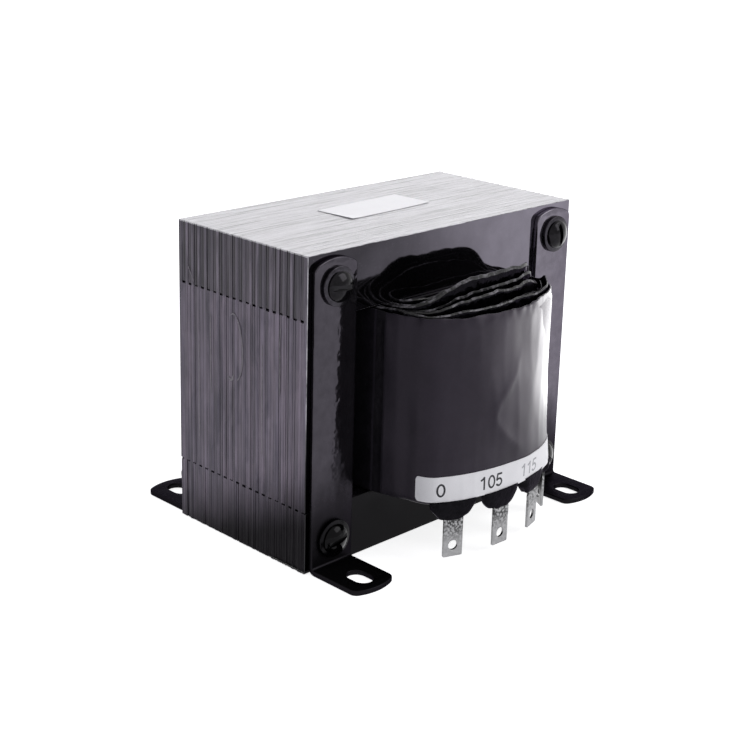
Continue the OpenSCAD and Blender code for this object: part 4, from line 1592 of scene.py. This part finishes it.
class TRANSFORMER_OT_stage(bpy.types.Operator):
    """Sets up the floor, the lamps, the white surroundings and the camera"""
    bl_idname = "transformer.stage"
    bl_label = "Stage"

    def execute(self, context):
        scene = context.scene
        scene.view_settings.view_transform = "Standard"
        self.floor()
        self.surroundings(scene)
        stage = sizes("stage")
        self.lamp("front_lamp", (0.62, -0.8, 0.62), stage.front, (0.7, 0.7))
        self.lamp("back_lamp", (0.58, 0.58, 0.42), stage.back, (0.8, 0.5))
        self.wrap_lamp("glint_lamp", (0.135, -0.03, 0.035), stage.glint, (0.09, 0.09))
        self.wrap_lamp("sheen_lamp", (0.115, -0.125, 0.04), stage.sheen, (0.12, 0.08))
        self.camera(scene)
        return {"FINISHED"}

    def wrap_lamp(self, name, place, watts, size):
        """Small lamp beside the coil that lights only its wrap."""
        lamp = self.lamp(name, place, watts, size, aim=(0.025, -0.045, 0.045))
        lamp.visible_camera = False
        lit = bpy.data.collections.new(name + "_lights")
        lit.objects.link(bpy.data.objects["creased_wrap"])
        lamp.light_linking.receiver_collection = lit

    def seen(self, tree):
        """1 for what the camera, a mirror or a pane of glass sees."""
        rays = tree.nodes.new("ShaderNodeLightPath").outputs
        total = rays["Is Camera Ray"]
        for name in ("Is Glossy Ray", "Is Transmission Ray"):
            inputs = {0: total, 1: rays[name]}
            total = add_node(tree, "ShaderNodeMath", inputs, operation="MAXIMUM").outputs[0]
        return total

    def choose(self, tree, unseen, seen):
        """One shader for light that falls on surfaces and another for what is seen."""
        inputs = {"Fac": self.seen(tree), 1: unseen, 2: seen}
        return add_node(tree, "ShaderNodeMixShader", inputs).outputs[0]

    def floor(self):
        far = 6.0
        corners = [(-far, -far, 0), (far, -far, 0), (far, far, 0), (-far, far, 0)]
        mesh = bpy.data.meshes.new("floor")
        mesh.from_pydata(corners, [], [(0, 1, 2, 3)])
        floor = bpy.data.objects.new("floor", mesh)
        bpy.context.scene.collection.objects.link(floor)
        pale = Shade("pale_floor", roughness=0.9)
        pale.put("Base Color", (0.82, 0.82, 0.83, 1))
        tree, matt = pale.tree, pale.shader.outputs[0]
        glow = add_node(tree, "ShaderNodeEmission", {"Strength": 0.8}).outputs[0]
        both = add_node(tree, "ShaderNodeAddShader", {0: matt, 1: glow}).outputs[0]
        surface = tree.nodes["Material Output"].inputs["Surface"]
        tree.links.new(self.choose(tree, matt, both), surface)
        mesh.materials.append(pale.material)

    def surroundings(self, scene):
        world = bpy.data.worlds.new("white_surroundings")
        scene.world = world
        world.use_nodes = True
        tree = world.node_tree
        tree.nodes.clear()
        dim = {"Color": (0.95, 0.95, 1.0, 1), "Strength": sizes("stage").ambient}
        white = {"Color": (1, 1, 1, 1), "Strength": 1.0}
        dim, white = (add_node(tree, "ShaderNodeBackground", inputs).outputs[0]
                      for inputs in (dim, white))
        add_node(tree, "ShaderNodeOutputWorld", {"Surface": self.choose(tree, dim, white)})

    def lamp(self, name, place, watts, size, aim=(0, 0, 0.045)):
        data = bpy.data.lights.new(name, "AREA")
        data.shape = "RECTANGLE"
        data.size, data.size_y = size
        data.energy = watts
        lamp = bpy.data.objects.new(name, data)
        lamp.location = place
        lamp.rotation_mode = "QUATERNION"
        lamp.rotation_quaternion = (Vector(aim) - Vector(place)).to_track_quat("-Z", "Y")
        bpy.context.scene.collection.objects.link(lamp)
        return lamp

    def camera(self, scene):
        stage = sizes("stage")
        a, e = stage.azimuth, stage.elevation
        back = Vector((math.sin(a) * math.cos(e), -math.cos(a) * math.cos(e), math.sin(e)))
        right = Vector((math.cos(a), math.sin(a), 0))
        up = back.cross(right)
        aim = Vector((0, 0, (CORE_LOW + CORE_TOP) / 2))
        aim += stage.aim_right * right + stage.aim_up * up
        c, s = math.cos(stage.roll), math.sin(stage.roll)
        right, up = c * right + s * up, c * up - s * right
        data = bpy.data.cameras.new("camera")
        data.sensor_width = SENSOR_MM
        data.lens = stage.focal_px / PHOTO_PX * SENSOR_MM
        data.shift_y = stage.shift
        data.clip_start, data.clip_end = 0.01, 50
        camera = bpy.data.objects.new("camera", data)
        matrix = camera.matrix_world
        place = (aim + stage.distance * back) * MM
        for row in range(3):
            matrix[row] = right[row], up[row], back[row], place[row]
        camera.matrix_world = matrix
        scene.collection.objects.link(camera)
        scene.camera = camera


class TRANSFORMER_PT_looks(bpy.types.Panel):
    """Lists the steps that dress the transformer"""
    bl_idname = "TRANSFORMER_PT_looks"
    bl_label = "Transformer"
    bl_space_type = "VIEW_3D"
    bl_region_type = "UI"
    bl_category = "Transformer"

    def draw(self, context):
        for operator in OPERATORS:
            self.layout.operator(operator.bl_idname)
        for name, group in PROPERTY_GROUPS.items():
            box = self.layout.box()
            box.label(text=group.__doc__)
            for key in group.__annotations__:
                box.prop(getattr(context.scene, name), key)


OPERATORS = (
    TRANSFORMER_OT_core,
    TRANSFORMER_OT_brackets,
    TRANSFORMER_OT_fasteners,
    TRANSFORMER_OT_wrap,
    TRANSFORMER_OT_layers,
    TRANSFORMER_OT_lugs,
    TRANSFORMER_OT_labels,
    TRANSFORMER_OT_stage,
)


def register():
    for group in PROPERTY_GROUPS.values():
        bpy.utils.register_class(group)
    for name, group in PROPERTY_GROUPS.items():
        setattr(bpy.types.Scene, name, PointerProperty(type=group))
    for item in (*OPERATORS, TRANSFORMER_PT_looks):
        bpy.utils.register_class(item)


def unregister():
    for item in reversed((*OPERATORS, TRANSFORMER_PT_looks)):
        bpy.utils.unregister_class(item)
    for name in PROPERTY_GROUPS:
        delattr(bpy.types.Scene, name)
    for group in reversed(list(PROPERTY_GROUPS.values())):
        bpy.utils.unregister_class(group)


def main():
    register()
    for operator in OPERATORS:
        area, name = operator.bl_idname.split(".")
        getattr(getattr(bpy.ops, area), name)()


if __name__ == "__main__":
    main()
